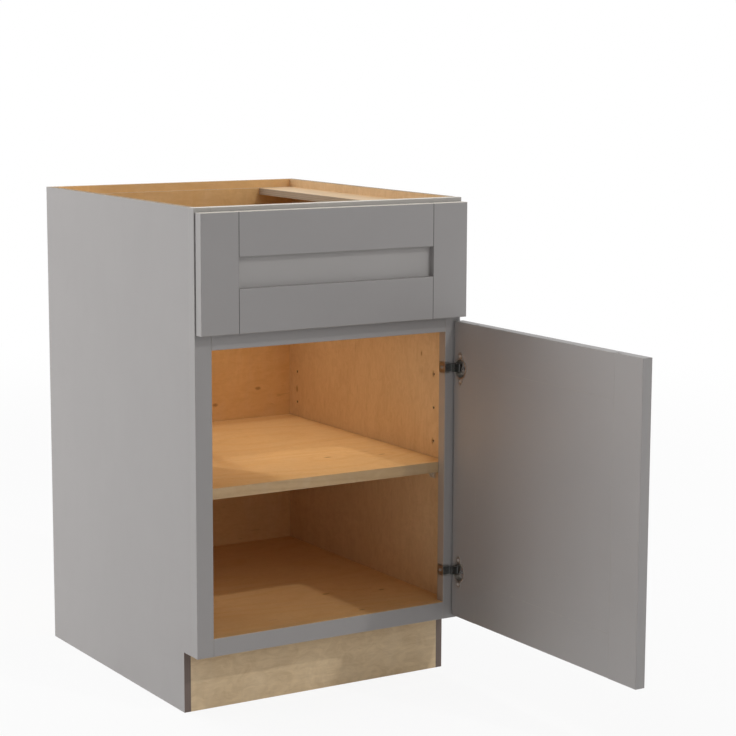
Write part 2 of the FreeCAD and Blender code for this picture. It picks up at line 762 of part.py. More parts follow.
def drawer_end(name, outer_y, inner_y):
    """The front or the back board, with its pins standing between the tails of the sides."""
    inner = box_inner_half
    lengths = sorted([outer_y, inner_y], key=guess)
    core = body_of("YZ_Plane", rectangle((lengths[0], "0"), (lengths[1], "box_height")), f"2 * {inner}",
                   "DrawerEnd", symmetric=True)
    for number in range(tail_count + 1):
        low_base = low_end = "0"
        high_base = high_end = "box_height"
        if number > 0:
            low_base = tail_heights(number - 1, "0", "tail_fit")[1]
            low_end = tail_heights(number - 1, "tail_slope", "tail_fit")[1]
        if number < tail_count:
            high_base = tail_heights(number, "0", "tail_fit")[0]
            high_end = tail_heights(number, "tail_slope", "tail_fit")[0]
        pin = [(outer_y, low_end), (inner_y, low_base), (inner_y, high_base), (outer_y, high_end)]
        add_pad(core, "YZ_Plane", pin, f"2 * {box_half}", symmetric=True)
    seat(core, z=box_floor)
    groove_y = (f"{inner_y} - box_groove_depth", f"{inner_y} + cut_overrun")
    if name == "back":
        groove_y = (f"{inner_y} - cut_overrun", f"{inner_y} + box_groove_depth")
    cutters = [box((f"0 - {inner} - cut_overrun", groove_y[0], box_bottom_under),
                   (f"{inner} + cut_overrun", groove_y[1], box_bottom_top))]
    if name == "back":
        for side in ("left", "right"):
            low, high = span(side, f"{inner} - box_notch_width", inner)
            cutters.append(box((low, f"{lengths[0]} - cut_overrun", f"{box_floor} - cut_overrun"),
                               (high, f"{lengths[1]} + cut_overrun", box_bottom_under)))
            cutters.append(rod("hook_peg_radius + close_fit", "hook_peg_length + cut_overrun",
                               (mirrored(side, hook_x), f"{box_back} - hook_peg_length", hook_z), "y"))
    kept(minus(core, cutters), "drawer_box_" + name)


hook_x = f"(({slide_inner} + {slide_outer}) / 2)"
hook_z = f"({box_bottom_top} + hook_peg_radius * 2)"


def drawer():
    def place(piece):
        return seat(piece, f"0 - {front_width} / 2", fronts_back, drawer_front_floor)

    made = five_piece_front("drawer_front", "drawer_front_height", place)
    kept(made["stile_left"], "drawer_front_stile_left")
    kept(made["stile_right"], "drawer_front_stile_right")
    kept(made["rail_top"], "drawer_front_rail_top")
    kept(made["rail_bottom"], "drawer_front_rail_bottom")
    kept(made["panel"], "drawer_front_panel")
    for side in ("left", "right"):
        drawer_side(side)
    drawer_end("front", fronts_back, box_front_inside)
    drawer_end("back", box_back, box_back_inside)
    reach = f"({box_inner_half} + box_groove_depth - close_fit)"
    kept(box((f"0 - {reach}", f"{box_front_inside} - box_groove_depth + close_fit", box_bottom_under),
             (reach, f"{box_back_inside} + box_groove_depth - close_fit", box_bottom_top)), "drawer_bottom")


# Slides: a channel on the cabinet, a middle member that runs half way, and an upturned channel
# under the drawer, one inside the other.
def slide(side):
    def turned(points):
        return [(mirrored(side, x), z) for x, z in points]

    steel = "steel_thickness"
    floor = slide_floor
    web_top = f"({floor} + slide_web_height)"
    flange_top = f"({floor} + slide_flange_height)"
    channel = [
        (slide_inner, floor),
        (opening_half, floor),
        (opening_half, flange_top),
        (f"({opening_half} - {steel})", flange_top),
        (f"({opening_half} - {steel})", f"{floor} + {steel}"),
        (slide_outer, f"{floor} + {steel}"),
        (slide_outer, web_top),
        (f"({slide_outer} - {steel})", web_top),
        (f"({slide_outer} - {steel})", f"{floor} + {steel}"),
        (f"({slide_inner} + {steel})", f"{floor} + {steel}"),
        (f"({slide_inner} + {steel})", web_top),
        (slide_inner, web_top),
    ]
    cabinet_member = body_of("XZ_Plane", turned(channel), f"{slide_rear} - {slide_front}",
                             "SlideCabinetMember")
    seat(cabinet_member, y=slide_rear)
    flange_low = span(side, f"{opening_half} - {steel}", opening_half)[0]
    hole = screw_hole(flange_low, slide_screw_y, slide_screw_z, "x", steel)
    kept(minus(cabinet_member, [hole]), "slide_cabinet_" + side)

    top_under = f"({box_bottom_under} - {steel})"
    left = f"({slide_inner} + {steel} + slide_play)"
    right = f"({slide_outer} - {steel} - slide_play)"
    low = f"({floor} + {steel} + slide_play)"
    high = f"({top_under} - slide_play)"
    web_low = f"(({low} + {high} - {steel}) / 2)"
    web_high = f"({web_low} + {steel})"
    beam = [
        (left, low), (f"({left} + {steel})", low), (f"({left} + {steel})", web_low),
        (f"({right} - {steel})", web_low), (f"({right} - {steel})", low), (right, low),
        (right, high), (f"({right} - {steel})", high), (f"({right} - {steel})", web_high),
        (f"({left} + {steel})", web_high), (f"({left} + {steel})", high), (left, high),
    ]
    rear = f"({box_back} - slide_middle_setback)"
    middle = body_of("XZ_Plane", turned(beam), f"{rear} - {frame_back}", "SlideMiddleMember")
    kept(seat(middle, y=rear), "slide_middle_" + side)

    skirt = f"({web_top} + slide_members_gap)"
    cap = [
        (slide_inner, skirt),
        (f"({slide_inner} + {steel})", skirt),
        (f"({slide_inner} + {steel})", top_under),
        (f"({slide_outer} - {steel})", top_under),
        (f"({slide_outer} - {steel})", skirt),
        (slide_outer, skirt),
        (slide_outer, box_bottom_under),
        (slide_inner, box_bottom_under),
    ]
    member = body_of("XZ_Plane", turned(cap), f"{box_back} - ({box_front_inside} + slide_inset)",
                     "SlideDrawerMember")
    seat(member, y=box_back)
    hook_low, hook_high = span(side, f"{hook_x} - slide_width / 4", f"{hook_x} + slide_width / 4")
    hook = box((hook_low, box_back, top_under), (hook_high, f"{box_back} + {steel}",
                                                 f"{box_bottom_under} + hook_height"))
    peg = rod("hook_peg_radius", "hook_peg_length", (mirrored(side, hook_x), f"{box_back} - hook_peg_length"
                                                     " + close_fit", hook_z), "y", "HookPeg")
    kept(joined([member, hook, peg], "DrawerMember"), "slide_drawer_" + side)

    bracket_outer = f"({opening_half} + bracket_seat_thickness)"
    bracket_inner = f"({bracket_outer} - bracket_width)"
    bracket_floor = f"({floor} - bracket_seat_thickness)"
    foot = span(side, bracket_inner, bracket_outer)
    base = box((foot[0], "0 - back_thickness - bracket_foot_thickness", bracket_floor),
               (foot[1], "0 - back_thickness", f"{bracket_floor} + bracket_height"))
    seat_front = f"({slide_rear} - bracket_seat_depth)"
    ledge = box((foot[0], seat_front, bracket_floor), (foot[1], "0 - back_thickness", floor))
    cheek_x = span(side, opening_half, bracket_outer)
    cheek = box((cheek_x[0], seat_front, bracket_floor), (cheek_x[1], "0 - back_thickness", flange_top))
    face = "(0 - back_thickness - bracket_foot_thickness)"
    hole_x = mirrored(side, f"({bracket_inner} + screw_edge_distance)")
    heights = (f"({floor} + screw_edge_distance)",
               f"({bracket_floor} + bracket_height - screw_edge_distance)")
    holes = [screw_hole(hole_x, face, z, "y", "bracket_foot_thickness") for z in heights]
    kept(minus(joined([base, ledge, cheek], "BracketSolid"), holes), "slide_rear_bracket_" + side)


# Catches that lock the drawer on its slides: a plate under the drawer's front corner and a lever
# that swings on the plate's pin.
catch_front = f"({box_front_inside} + slide_inset)"
catch_pin_y = f"({catch_front} + catch_pin_setback)"
catch_pin_x = f"({slide_inner} - catch_width / 2)"
lever_top = f"({box_bottom_under} - catch_thickness - lever_play)"


def catch(side):
    low, high = span(side, f"{slide_inner} - catch_width", slide_inner)
    plate = box((low, catch_front, f"{box_bottom_under} - catch_thickness"),
                (high, f"{catch_front} + catch_length", box_bottom_under))
    x = mirrored(side, catch_pin_x)
    lever_bottom = f"({lever_top} - lever_thickness)"
    cap_top = f"({lever_bottom} - lever_play)"
    pin = rod("catch_pin_radius", f"{box_bottom_under} - catch_thickness - {cap_top} + lever_cap_thickness",
              (x, catch_pin_y, f"{cap_top} - lever_cap_thickness"), "z", "CatchPin")
    cap = rod("lever_cap_radius", "lever_cap_thickness",
              (x, catch_pin_y, f"{cap_top} - lever_cap_thickness"), "z", "CatchCap")
    kept(joined([plate, pin, cap], "CatchPlate"), "drawer_catch_" + side)
    arm = box(("0 - lever_width / 2", "0 - catch_pin_setback", "0"),
              ("lever_width / 2", "0", "lever_thickness"))
    tab = box(("0 - lever_tab_width / 2", "0 - catch_pin_setback", "0"),
              ("lever_tab_width / 2", "lever_tab_depth - catch_pin_setback", "lever_thickness"))
    hub = rod("lever_hub_radius", "lever_thickness", ("0", "0", "0"), "z", "LeverHub")
    hole = rod("catch_pin_radius + hinge_pin_fit", "lever_thickness + 2 * cut_overrun",
               ("0", "0", "0 - cut_overrun"), "z", "LeverHole")
    lever = minus(joined([arm, tab, hub], "LeverSolid"), [hole], "Lever")
    kept(seat(lever, x, catch_pin_y, lever_bottom), "catch_lever_" + side)


# Cutlery insert: a thin base, two walls that run from front to back, dividers across, and a
# raised board, carried by two risers, beside the short dividers.
def insert():
    half = f"({box_inner_half} - insert_play)"
    front = f"({box_front_inside} + insert_play)"
    back = f"({box_back_inside} - insert_play)"
    floor = f"({box_bottom_top} + insert_base_thickness)"
    top = f"({floor} + insert_wall_height)"
    wall = "insert_wall_thickness"
    kept(box((f"0 - {half}", front, box_bottom_top), (half, back, floor)), "insert_base")
    left_inner = f"(0 - {half} + {wall})"
    right_inner = f"({half} - insert_margin - {wall})"
    kept(box((f"0 - {half}", front, floor), (left_inner, back, top)), "insert_wall_left")
    kept(box((right_inner, front, floor), (f"{right_inner} + {wall}", back, top)), "insert_wall_right")

    def bay(number):
        return f"({front} + ({back} - {front}) * {number} / {insert_bay_count} - {wall} / 2)"

    cross = f"({left_inner} + ({right_inner} - {left_inner}) * {insert_cross_share})"
    long_divider = box((left_inner, bay(1), floor), (right_inner, f"{bay(1)} + {wall}", top), "LongDivider")
    short_dividers = [box((left_inner, bay(number), floor), (cross, f"{bay(number)} + {wall}", top),
                          "Divider")
                      for number in range(2, insert_bay_count)]
    last_divider = bay(insert_bay_count - 1)
    cover_under = f"({top} - insert_base_thickness)"
    side_riser = box((cross, f"{bay(1)} + {wall}", floor), (f"{cross} + {wall}", last_divider, cover_under),
                     "SideRiser")
    end_riser = box((cross, last_divider, floor), (right_inner, f"{last_divider} + {wall}", cover_under),
                    "EndRiser")
    kept(group([long_divider, side_riser, end_riser] + short_dividers, "InsertDividers"), "insert_dividers")
    kept(box((cross, f"{bay(1)} + {wall}", cover_under), (right_inner, f"{last_divider} + {wall}", top)),
         "insert_cover")


carcass()
for stile_side in ("left", "right"):
    frame_stile(stile_side)
for rail_name in frame_rails:
    frame_rail(rail_name)
shelf()
shelf_supports()
door()
hinges()
drawer()
for slide_side in ("left", "right"):
    slide(slide_side)
    catch(slide_side)
insert()

document.recompute()
for thing in document.Objects:
    if "Invalid" in thing.State or "Error" in thing.State:
        raise RuntimeError("%s did not build: %s" % (thing.Label, thing.State))
for piece in pieces:
    if piece.Shape.isNull() or not piece.Shape.isValid():
        raise RuntimeError("%s has no sound shape" % piece.Label)

os.makedirs("parts", exist_ok=True)
for piece in pieces:
    piece.Shape.exportStep(os.path.join("parts", piece.Label + ".step"))
print(len(pieces), "sub-parts written")
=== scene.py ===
import math
import bpy
import numpy as np
from mathutils import Matrix, Vector


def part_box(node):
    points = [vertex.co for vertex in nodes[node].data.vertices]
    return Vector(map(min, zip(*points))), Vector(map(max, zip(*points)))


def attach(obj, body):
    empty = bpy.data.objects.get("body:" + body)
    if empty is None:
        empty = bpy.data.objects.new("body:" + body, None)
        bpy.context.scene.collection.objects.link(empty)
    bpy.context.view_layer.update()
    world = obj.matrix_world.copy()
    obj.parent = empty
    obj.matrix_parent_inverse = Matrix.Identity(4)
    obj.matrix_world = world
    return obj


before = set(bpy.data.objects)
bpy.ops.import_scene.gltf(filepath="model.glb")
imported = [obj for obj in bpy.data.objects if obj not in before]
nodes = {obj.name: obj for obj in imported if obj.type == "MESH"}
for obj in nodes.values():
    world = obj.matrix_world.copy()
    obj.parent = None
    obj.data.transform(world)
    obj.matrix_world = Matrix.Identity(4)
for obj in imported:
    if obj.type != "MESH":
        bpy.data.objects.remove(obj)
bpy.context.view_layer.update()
scene = bpy.context.scene

# view: where the photo was taken from, fitted to the cabinet's straight edges
cameraSettings = {
    "place": (-1.8338, -3.6848, 1.1376),
    "forward": (0.5208, 0.8402, -0.1513),
    "roll": 0.21,  # degrees
    "lens": 102.22,
    "sensor": 36.0,  # mm, as the lens is
    "clip": (0.05, 100.0),
}


def makeCamera(settings):
    # columns of the rotation: right and up turned by the roll about the view line, then the way back
    forward = Vector(settings["forward"]).normalized()
    right = forward.cross(Vector((0, 0, 1))).normalized()
    up = right.cross(forward)
    turn = math.radians(settings["roll"])
    rolledRight = right * math.cos(turn) + up * math.sin(turn)
    rolledUp = up * math.cos(turn) - right * math.sin(turn)
    data = bpy.data.cameras.new("photoCamera")
    data.lens = settings["lens"]
    data.sensor_width = settings["sensor"]
    data.clip_start, data.clip_end = settings["clip"]
    camera = bpy.data.objects.new("photoCamera", data)
    turned = Matrix((rolledRight, rolledUp, -forward)).transposed().to_4x4()
    camera.matrix_world = Matrix.Translation(settings["place"]) @ turned
    scene.collection.objects.link(camera)
    scene.camera = camera


makeCamera(cameraSettings)
print("camera placed")


# node tools: short ways to put a node in a tree and wire it
def addNode(tree, kind, wires=None, **settings):
    node = tree.nodes.new("ShaderNode" + kind)
    for name, value in settings.items():
        setattr(node, name, value)
    for name, value in (wires or {}).items():
        socket = node.inputs[name]
        if isinstance(value, bpy.types.NodeSocket):
            tree.links.new(value, socket)
        else:
            socket.default_value = value
    return node


def calc(tree, operation, *values, clamp=False):
    wires = dict(enumerate(values))
    return addNode(tree, "Math", wires, operation=operation, use_clamp=clamp).outputs[0]


def vectorCalc(tree, operation, *values):
    return addNode(tree, "VectorMath", dict(enumerate(values)), operation=operation).outputs[0]


def blendColours(tree, share, first, second, how="MIX"):
    wires = {0: share, 6: first, 7: second}
    return addNode(tree, "Mix", wires, data_type="RGBA", blend_type=how).outputs[2]


def ramp(tree, value, low, high, outLow=0.0, outHigh=1.0):
    wires = {"Value": value, "From Min": low, "From Max": high, "To Min": outLow, "To Max": outHigh}
    return addNode(tree, "MapRange", wires, interpolation_type="SMOOTHSTEP").outputs[0]


def noise(tree, place, scale, detail=2.0, rough=0.5, distortion=0.0):
    wires = {"Vector": place, "Scale": scale, "Detail": detail, "Roughness": rough}
    return addNode(tree, "TexNoise", dict(wires, Distortion=distortion)).outputs[0]


def stretched(tree, place, x, y, z):
    return vectorCalc(tree, "MULTIPLY", place, (x, y, z))


def newGroup(name, inputs, outputs):
    tree = bpy.data.node_groups.new(name, "ShaderNodeTree")
    kinds = {"value": "NodeSocketFloat", "colour": "NodeSocketColor", "place": "NodeSocketVector"}
    for label, kind, value in inputs:
        socket = tree.interface.new_socket(label, in_out="INPUT", socket_type=kinds[kind])
        socket.default_value = value
    for label, kind in outputs:
        tree.interface.new_socket(label, in_out="OUTPUT", socket_type=kinds[kind])
    return tree, tree.nodes.new("NodeGroupInput").outputs, tree.nodes.new("NodeGroupOutput").inputs


def useGroup(tree, group, wires):
    node = addNode(tree, "Group", node_tree=group)
    for name, value in wires.items():
        if isinstance(value, bpy.types.NodeSocket):
            tree.links.new(value, node.inputs[name])
        else:
            node.inputs[name].default_value = value
    return node.outputs


knotSettings = {
    "flatten": (0.55, 1.0, 0.2),  # along the grain, across and through: longer along it
    "raggedScale": 420.0,
    "ragged": 0.5,
    "eye": (0.5, 1.45),  # shares of the size over which the eye fades out
    "bend": 0.05,  # how fast the bump falls off
}


# knot: a small dark eye, and a bump in the figure's field that bends the growth lines round it
def makeKnotGroup(settings):
    tree, given, out = newGroup(
        "knot",
        [("Place", "place", (0, 0, 0)), ("Centre", "place", (0, 0, 0)), ("Size", "value", 0.005)],
        [("Eye", "value"), ("Lift", "value")],
    )
    offset = vectorCalc(tree, "SUBTRACT", given["Place"], given["Centre"])
    flat = stretched(tree, offset, *settings["flatten"])
    far = addNode(tree, "VectorMath", {0: flat}, operation="LENGTH").outputs["Value"]
    share = calc(tree, "DIVIDE", far, given["Size"])
    rough = noise(tree, given["Place"], settings["raggedScale"])
    ragged = calc(tree, "ADD", share, calc(tree, "MULTIPLY", rough, settings["ragged"]))
    tree.links.new(ramp(tree, ragged, *settings["eye"], 1.0, 0.0), out["Eye"])
    squared = calc(tree, "MULTIPLY", share, share)
    lift = calc(tree, "EXPONENT", calc(tree, "MULTIPLY", squared, -settings["bend"]))
    tree.links.new(lift, out["Lift"])
    return tree


figureNoises = {
    # scales along the grain, across and through, then detail, roughness and distortion
    "field": ((1.7, 6.5, 6.5), 1.6, 0.42, 0.35),
    "wobble": ((11.0, 34.0, 34.0), 2.0, 0.5, 0.0),
    "fibre": ((26.0, 700.0, 700.0), 3.0, 0.6, 0.0),
    "silk": ((9.0, 150.0, 150.0), 3.0, 0.55, 0.0),
    "cloud": ((2.6, 5.0, 5.0), 2.0, 0.5, 0.6),
    "curl": ((46.0, 17.0, 17.0), 2.0, 0.5, 1.2),
    "mottle": ((26.0, 46.0, 46.0), 4.0, 0.66, 1.3),
    "dash": ((75.0, 950.0, 950.0), 2.0, 0.5, 0.0),
    "mineral": ((22.0, 120.0, 120.0), 1.0, 0.5, 0.0),
}
# values of each noise between which it comes in
figureLimits = {
    "silk": (0.3, 0.72),
    "fibre": (0.32, 0.7),
    "cloud": (0.3, 0.7),
    "mottle": (0.32, 0.68),
    "curl": (0.35, 0.65),
    "patch": (0.42, 0.68),
    "dash": (0.63, 0.74),
    "mineral": (0.735, 0.79),
}
figureSettings = {
    "liftShare": 0.16,
    "wobbleShare": 0.035,
    "lateWood": 2.6,  # power that narrows the dark line between wide pale bands
    "curlPatch": 4.2,
    "silkDepth": 0.15,
    "fibreDepth": 0.12,
    "poreShare": 0.45,
    "umber": (0.56, 0.47, 0.37, 1),
    "ridge": (0.5, 0.8, 0.25),  # height of fibres, pores and late wood
    "gloss": (0.16, 0.08),  # roughness of fibres and late wood
}


def figureNoise(tree, name, place):
    scales, detail, rough, distortion = figureNoises[name]
    return noise(tree, stretched(tree, place, *scales), 1.0, detail, rough, distortion)


def figureTone(tree, name, value, depth):
    return calc(tree, "MULTIPLY", ramp(tree, value, *figureLimits[name]), depth)


# wood figure: contour lines of a slow noise field stretched along the grain give the growth lines, and
# finer noises stretched the same way give fibres, pores and broad clouds of tone
def makeFigureGroup(settings):
    tree, given, out = newGroup(
        "woodFigure",
        [
            ("Place", "place", (0, 0, 0)),
            ("Light", "colour", (0.8, 0.6, 0.35, 1)),
            ("Dark", "colour", (0.5, 0.3, 0.15, 1)),
            ("Lines", "value", 9.0),
            ("Line Depth", "value", 0.5),
            ("Flame", "value", 0.3),
            ("Curl", "value", 1.0),  # how small the flame's curls are
            ("Cloud", "value", 0.2),
            ("Mottle", "value", 0.35),
            ("Fleck", "value", 0.3),
            ("Lift", "value", 0.0),
            ("Eye", "value", 0.0),
        ],
        [("Color", "colour"), ("Height", "value"), ("Gloss", "value")],
    )
    place = given["Place"]
    nearer = addNode(tree, "VectorMath", {0: place, "Scale": given["Curl"]}, operation="SCALE").outputs[0]
    field, wobble = figureNoise(tree, "field", place), figureNoise(tree, "wobble", place)
    fibre, silk = figureNoise(tree, "fibre", place), figureNoise(tree, "silk", place)
    cloud, curl = figureNoise(tree, "cloud", place), figureNoise(tree, "curl", nearer)
    mottle, dash = figureNoise(tree, "mottle", nearer), figureNoise(tree, "dash", place)
    mineral = figureNoise(tree, "mineral", place)

    raised = calc(tree, "ADD", field, calc(tree, "MULTIPLY", given["Lift"], settings["liftShare"]))
    warped = calc(tree, "ADD", raised, calc(tree, "MULTIPLY", wobble, settings["wobbleShare"]))
    phase = calc(tree, "MULTIPLY", calc(tree, "MULTIPLY", warped, given["Lines"]), 2 * math.pi)
    wave = calc(tree, "ADD", calc(tree, "MULTIPLY", calc(tree, "SINE", phase), 0.5), 0.5)
    late = calc(tree, "POWER", wave, settings["lateWood"])

    curlWhere = ramp(tree, noise(tree, nearer, settings["curlPatch"], 1.0), *figureLimits["patch"])
    lineTone = calc(tree, "MULTIPLY", late, given["Line Depth"])
    silkTone = figureTone(tree, "silk", silk, settings["silkDepth"])
    fibreTone = figureTone(tree, "fibre", fibre, settings["fibreDepth"])
    cloudTone = figureTone(tree, "cloud", cloud, given["Cloud"])
    mottleTone = figureTone(tree, "mottle", mottle, given["Mottle"])
    flame = figureTone(tree, "curl", curl, curlWhere)
    flameTone = calc(tree, "MULTIPLY", flame, given["Flame"])
    fineTone = calc(tree, "ADD", lineTone, silkTone)
    tone = calc(tree, "ADD", fineTone, calc(tree, "ADD", fibreTone, cloudTone))
    whole = calc(tree, "SUBTRACT", calc(tree, "ADD", tone, mottleTone), flameTone, clamp=True)
    colour = blendColours(tree, whole, given["Light"], given["Dark"])

    streak = figureTone(tree, "mineral", mineral, given["Fleck"])
    poreDepth = calc(tree, "MULTIPLY", given["Fleck"], settings["poreShare"])
    pore = figureTone(tree, "dash", dash, poreDepth)
    marks = calc(tree, "MAXIMUM", calc(tree, "MAXIMUM", streak, pore), given["Eye"])
    umber = blendColours(tree, 1.0, colour, settings["umber"], "MULTIPLY")
    tree.links.new(blendColours(tree, marks, colour, umber), out["Color"])

    fibreHigh, poreDeep, lateHigh = settings["ridge"]
    sunk = calc(tree, "MULTIPLY", pore, poreDeep)
    ridge = calc(tree, "SUBTRACT", calc(tree, "MULTIPLY", fibre, fibreHigh), sunk)
    tree.links.new(calc(tree, "ADD", ridge, calc(tree, "MULTIPLY", late, lateHigh)), out["Height"])
    fibreRough, lateRough = settings["gloss"]
    rough = calc(tree, "MULTIPLY", fibre, fibreRough)
    tree.links.new(calc(tree, "ADD", rough, calc(tree, "MULTIPLY", late, lateRough)), out["Gloss"])
    return tree


layerSettings = {
    "raggedScale": 160.0,
    "ragged": 0.16,  # of one layer
    "glue": (0.42, 0.5),  # how far from a layer's middle its glue line starts and is full
    "glueDepth": 0.55,
    "streakScale": 900.0,
    "sunk": -0.8,
}


# edge layers: square bands along the board's thickness, every second one cross grain, with dark glue
def makeLayerGroup(settings):
    tree, given, out = newGroup(
        "plyLayers",
        [
            ("Place", "place", (0, 0, 0)),
            ("Depth", "value", 0.0),  # metres in from one face
            ("Layer", "value", 0.0018),
            ("Light", "colour", (0.7, 0.5, 0.3, 1)),
            ("Dark", "colour", (0.4, 0.25, 0.13, 1)),
        ],
        [("Color", "colour"), ("Height", "value")],
    )
    count = calc(tree, "DIVIDE", given["Depth"], given["Layer"])
    torn = noise(tree, given["Place"], settings["raggedScale"])
    ragged = calc(tree, "ADD", count, calc(tree, "MULTIPLY", torn, settings["ragged"]))
    parity = calc(tree, "FLOORED_MODULO", calc(tree, "FLOOR", ragged), 2.0)
    inLayer = calc(tree, "FRACT", ragged)
    glue = ramp(tree, calc(tree, "ABSOLUTE", calc(tree, "SUBTRACT", inLayer, 0.5)), *settings["glue"])
    streak = noise(tree, given["Place"], settings["streakScale"], 3.0, 0.7)
    crossTone = calc(tree, "MULTIPLY", parity, ramp(tree, streak, 0.25, 0.6, 0.45, 1.0))
    tone = calc(tree, "MAXIMUM", crossTone, calc(tree, "MULTIPLY", glue, settings["glueDepth"]))
    tree.links.new(blendColours(tree, tone, given["Light"], given["Dark"]), out["Color"])
    sunk = calc(tree, "MULTIPLY", crossTone, calc(tree, "MULTIPLY", streak, settings["sunk"]))
    tree.links.new(sunk, out["Height"])
    return tree


edgeSettings = {
    "samples": 4,
    "bent": (0.995, 0.8),  # cosine between the two normals where wear starts, and where it is full
    "broken": (0.3, 0.62),
}
filmSettings = {
    "patch": (5.5, 3.0, 0.55, 0.4),  # scale, detail, roughness, distortion
    "smearScales": (22.0, 22.0, 7.0),
    "smear": (1.0, 4.0, 0.62, 0.8),
    "smeared": (0.4, 0.75),
}


# worn edge, and on the hinge cups a painted highlight: where the rounded normal leaves the flat one,
# broken up by noise
def makeEdgeGroup(settings):
    tree, given, out = newGroup(
        "edgeWearAndGlint",
        [("Place", "place", (0, 0, 0)), ("Radius", "value", 0.001), ("Breakup", "value", 90.0)],
        [("Mask", "value"), ("Normal", "place")],
    )
    rounded = addNode(tree, "Bevel", {"Radius": given["Radius"]}, samples=settings["samples"]).outputs[0]
    flat = addNode(tree, "NewGeometry").outputs["Normal"]
    same = addNode(tree, "VectorMath", {0: rounded, 1: flat}, operation="DOT_PRODUCT").outputs["Value"]
    edge = ramp(tree, same, *settings["bent"])
    uneven = noise(tree, given["Place"], given["Breakup"], 3.0, 0.6)
    broken = ramp(tree, uneven, *settings["broken"])
    tree.links.new(calc(tree, "MULTIPLY", edge, broken), out["Mask"])
    tree.links.new(rounded, out["Normal"])
    return tree


# dust and hand marks: slow patches that dull the gloss and lift the colour a little
def makeFilmGroup(settings):
    tree, given, out = newGroup(
        "surfaceFilm",
        [("Place", "place", (0, 0, 0)), ("Peel", "value", 420.0)],
        [("Patch", "value"), ("Peel", "value"), ("Smear", "value")],
    )
    patch = noise(tree, given["Place"], *settings["patch"])
    smear = noise(tree, stretched(tree, given["Place"], *settings["smearScales"]), *settings["smear"])
    tree.links.new(patch, out["Patch"])
    tree.links.new(noise(tree, given["Place"], given["Peel"], 2.0, 0.5), out["Peel"])
    tree.links.new(ramp(tree, smear, *settings["smeared"]), out["Smear"])
    return tree


knotGroup = makeKnotGroup(knotSettings)
figureGroup = makeFigureGroup(figureSettings)
layerGroup = makeLayerGroup(layerSettings)
edgeGroup = makeEdgeGroup(edgeSettings)
filmGroup = makeFilmGroup(filmSettings)
print("shared effects built")


def newMaterial(name):
    material = bpy.data.materials.new(name)
    material.use_nodes = True
    tree = material.node_tree
    tree.nodes.clear()
    shader = addNode(tree, "BsdfPrincipled")
    target = addNode(tree, "OutputMaterial")
    tree.links.new(shader.outputs[0], target.inputs["Surface"])
    return material, tree, shader


def objectPlace(tree):
    return addNode(tree, "TexCoord").outputs["Object"]


def objectNormal(tree):
    return addNode(tree, "TexCoord").outputs["Normal"]


def splitAxes(tree, vector):
    parts = addNode(tree, "SeparateXYZ", {0: vector}).outputs
    return {"x": parts[0], "y": parts[1], "z": parts[2]}


def bump(tree, height, strength, distance, normal):
    wires = {"Height": height, "Strength": strength, "Distance": distance, "Normal": normal}
    return addNode(tree, "Bump", wires).outputs[0]


# the end of each material: what changes over the surface is wired, constants go on the sockets
def wireShader(tree, shader, colour, rough, normal, constants):
    tree.links.new(colour, shader.inputs["Base Color"])
    tree.links.new(rough, shader.inputs["Roughness"])
    tree.links.new(normal, shader.inputs["Normal"])
    for name, value in constants.items():
        shader.inputs[name].default_value = value


# 0 to 1 where the object normal turns to one side of an axis, for example "x" and -1
def facingShare(tree, normals, axis, sign):
    return ramp(tree, calc(tree, "MULTIPLY", normals[axis], sign), *facingLimits)


axisNumber = {"x": 0, "y": 1, "z": 2}
facingLimits = (0.6, 0.8)  # part of a normal along an axis where a face starts to count, and fully does

woodColours = {
    "birch": {"light": (0.80, 0.563, 0.322, 1), "dark": (0.67, 0.444, 0.233, 1)},
    "amberBirch": {"light": (0.82, 0.505, 0.22, 1), "dark": (0.70, 0.40, 0.155, 1)},  # a riper batch
    "maple": {"light": (0.80, 0.63, 0.41, 1), "dark": (0.66, 0.48, 0.28, 1)},
    "toe": {"light": (0.84, 0.655, 0.42, 1), "dark": (0.60, 0.43, 0.25, 1)},
    "insert": {"light": (0.84, 0.66, 0.43, 1), "dark": (0.66, 0.475, 0.27, 1)},
    "layerLight": (0.70, 0.52, 0.32, 1),
    "layerDark": (0.47, 0.31, 0.175, 1),
    "endGrain": (0.46, 0.31, 0.175, 1),
    "banding": (0.58, 0.40, 0.22, 1),
    "bandingDark": (0.46, 0.30, 0.155, 1),
    "toeEdge": (0.18, 0.14, 0.126, 1),  # the stained front edges beside the toe space
    "rubbed": (0.86, 0.72, 0.52, 1),
    "dust": (0.8, 0.76, 0.7, 1),
}
# a board's figure, unless the board says otherwise
birchFigure = {"lines": 9.0, "lineDepth": 0.16, "flame": 0.3, "curl": 1.6, "cloud": 0.18, "mottle": 0.35,
               "fleck": 0.3}
# maple is calmer than the birch sheets, with clearer growth lines
mapleFigure = dict(birchFigure, lines=10.0, lineDepth=0.42, mottle=0.14, flame=0.18, cloud=0.14)
woodHabits = {"birch": birchFigure, "amberBirch": birchFigure, "toe": birchFigure, "maple": mapleFigure,
              "insert": mapleFigure}
bandingFigure = {"Lines": 14.0, "Line Depth": 0.35, "Flame": 0.2, "Fleck": 0.3}
woodFinish = {
    "edge": {"Radius": 0.0006, "Breakup": 120.0},
    "rubbedShare": 0.35,
    "dustShare": 0.05,
    "rough": 0.36,
    "edgeRough": 0.25,
    "smearRough": 0.08,
    "ringScales": (4.0, 900.0, 260.0),  # of the pores in end grain: along the board, across, through
    "ringHeight": 0.8,
    "bandingShift": (3.1, 0.7, 0.2),  # so that the strip's figure isn't the board's
    "bump": (0.35, 0.00025),
    "constants": {"Coat Weight": 0.08, "Coat Roughness": 0.34, "Specular IOR Level": 0.3},
}


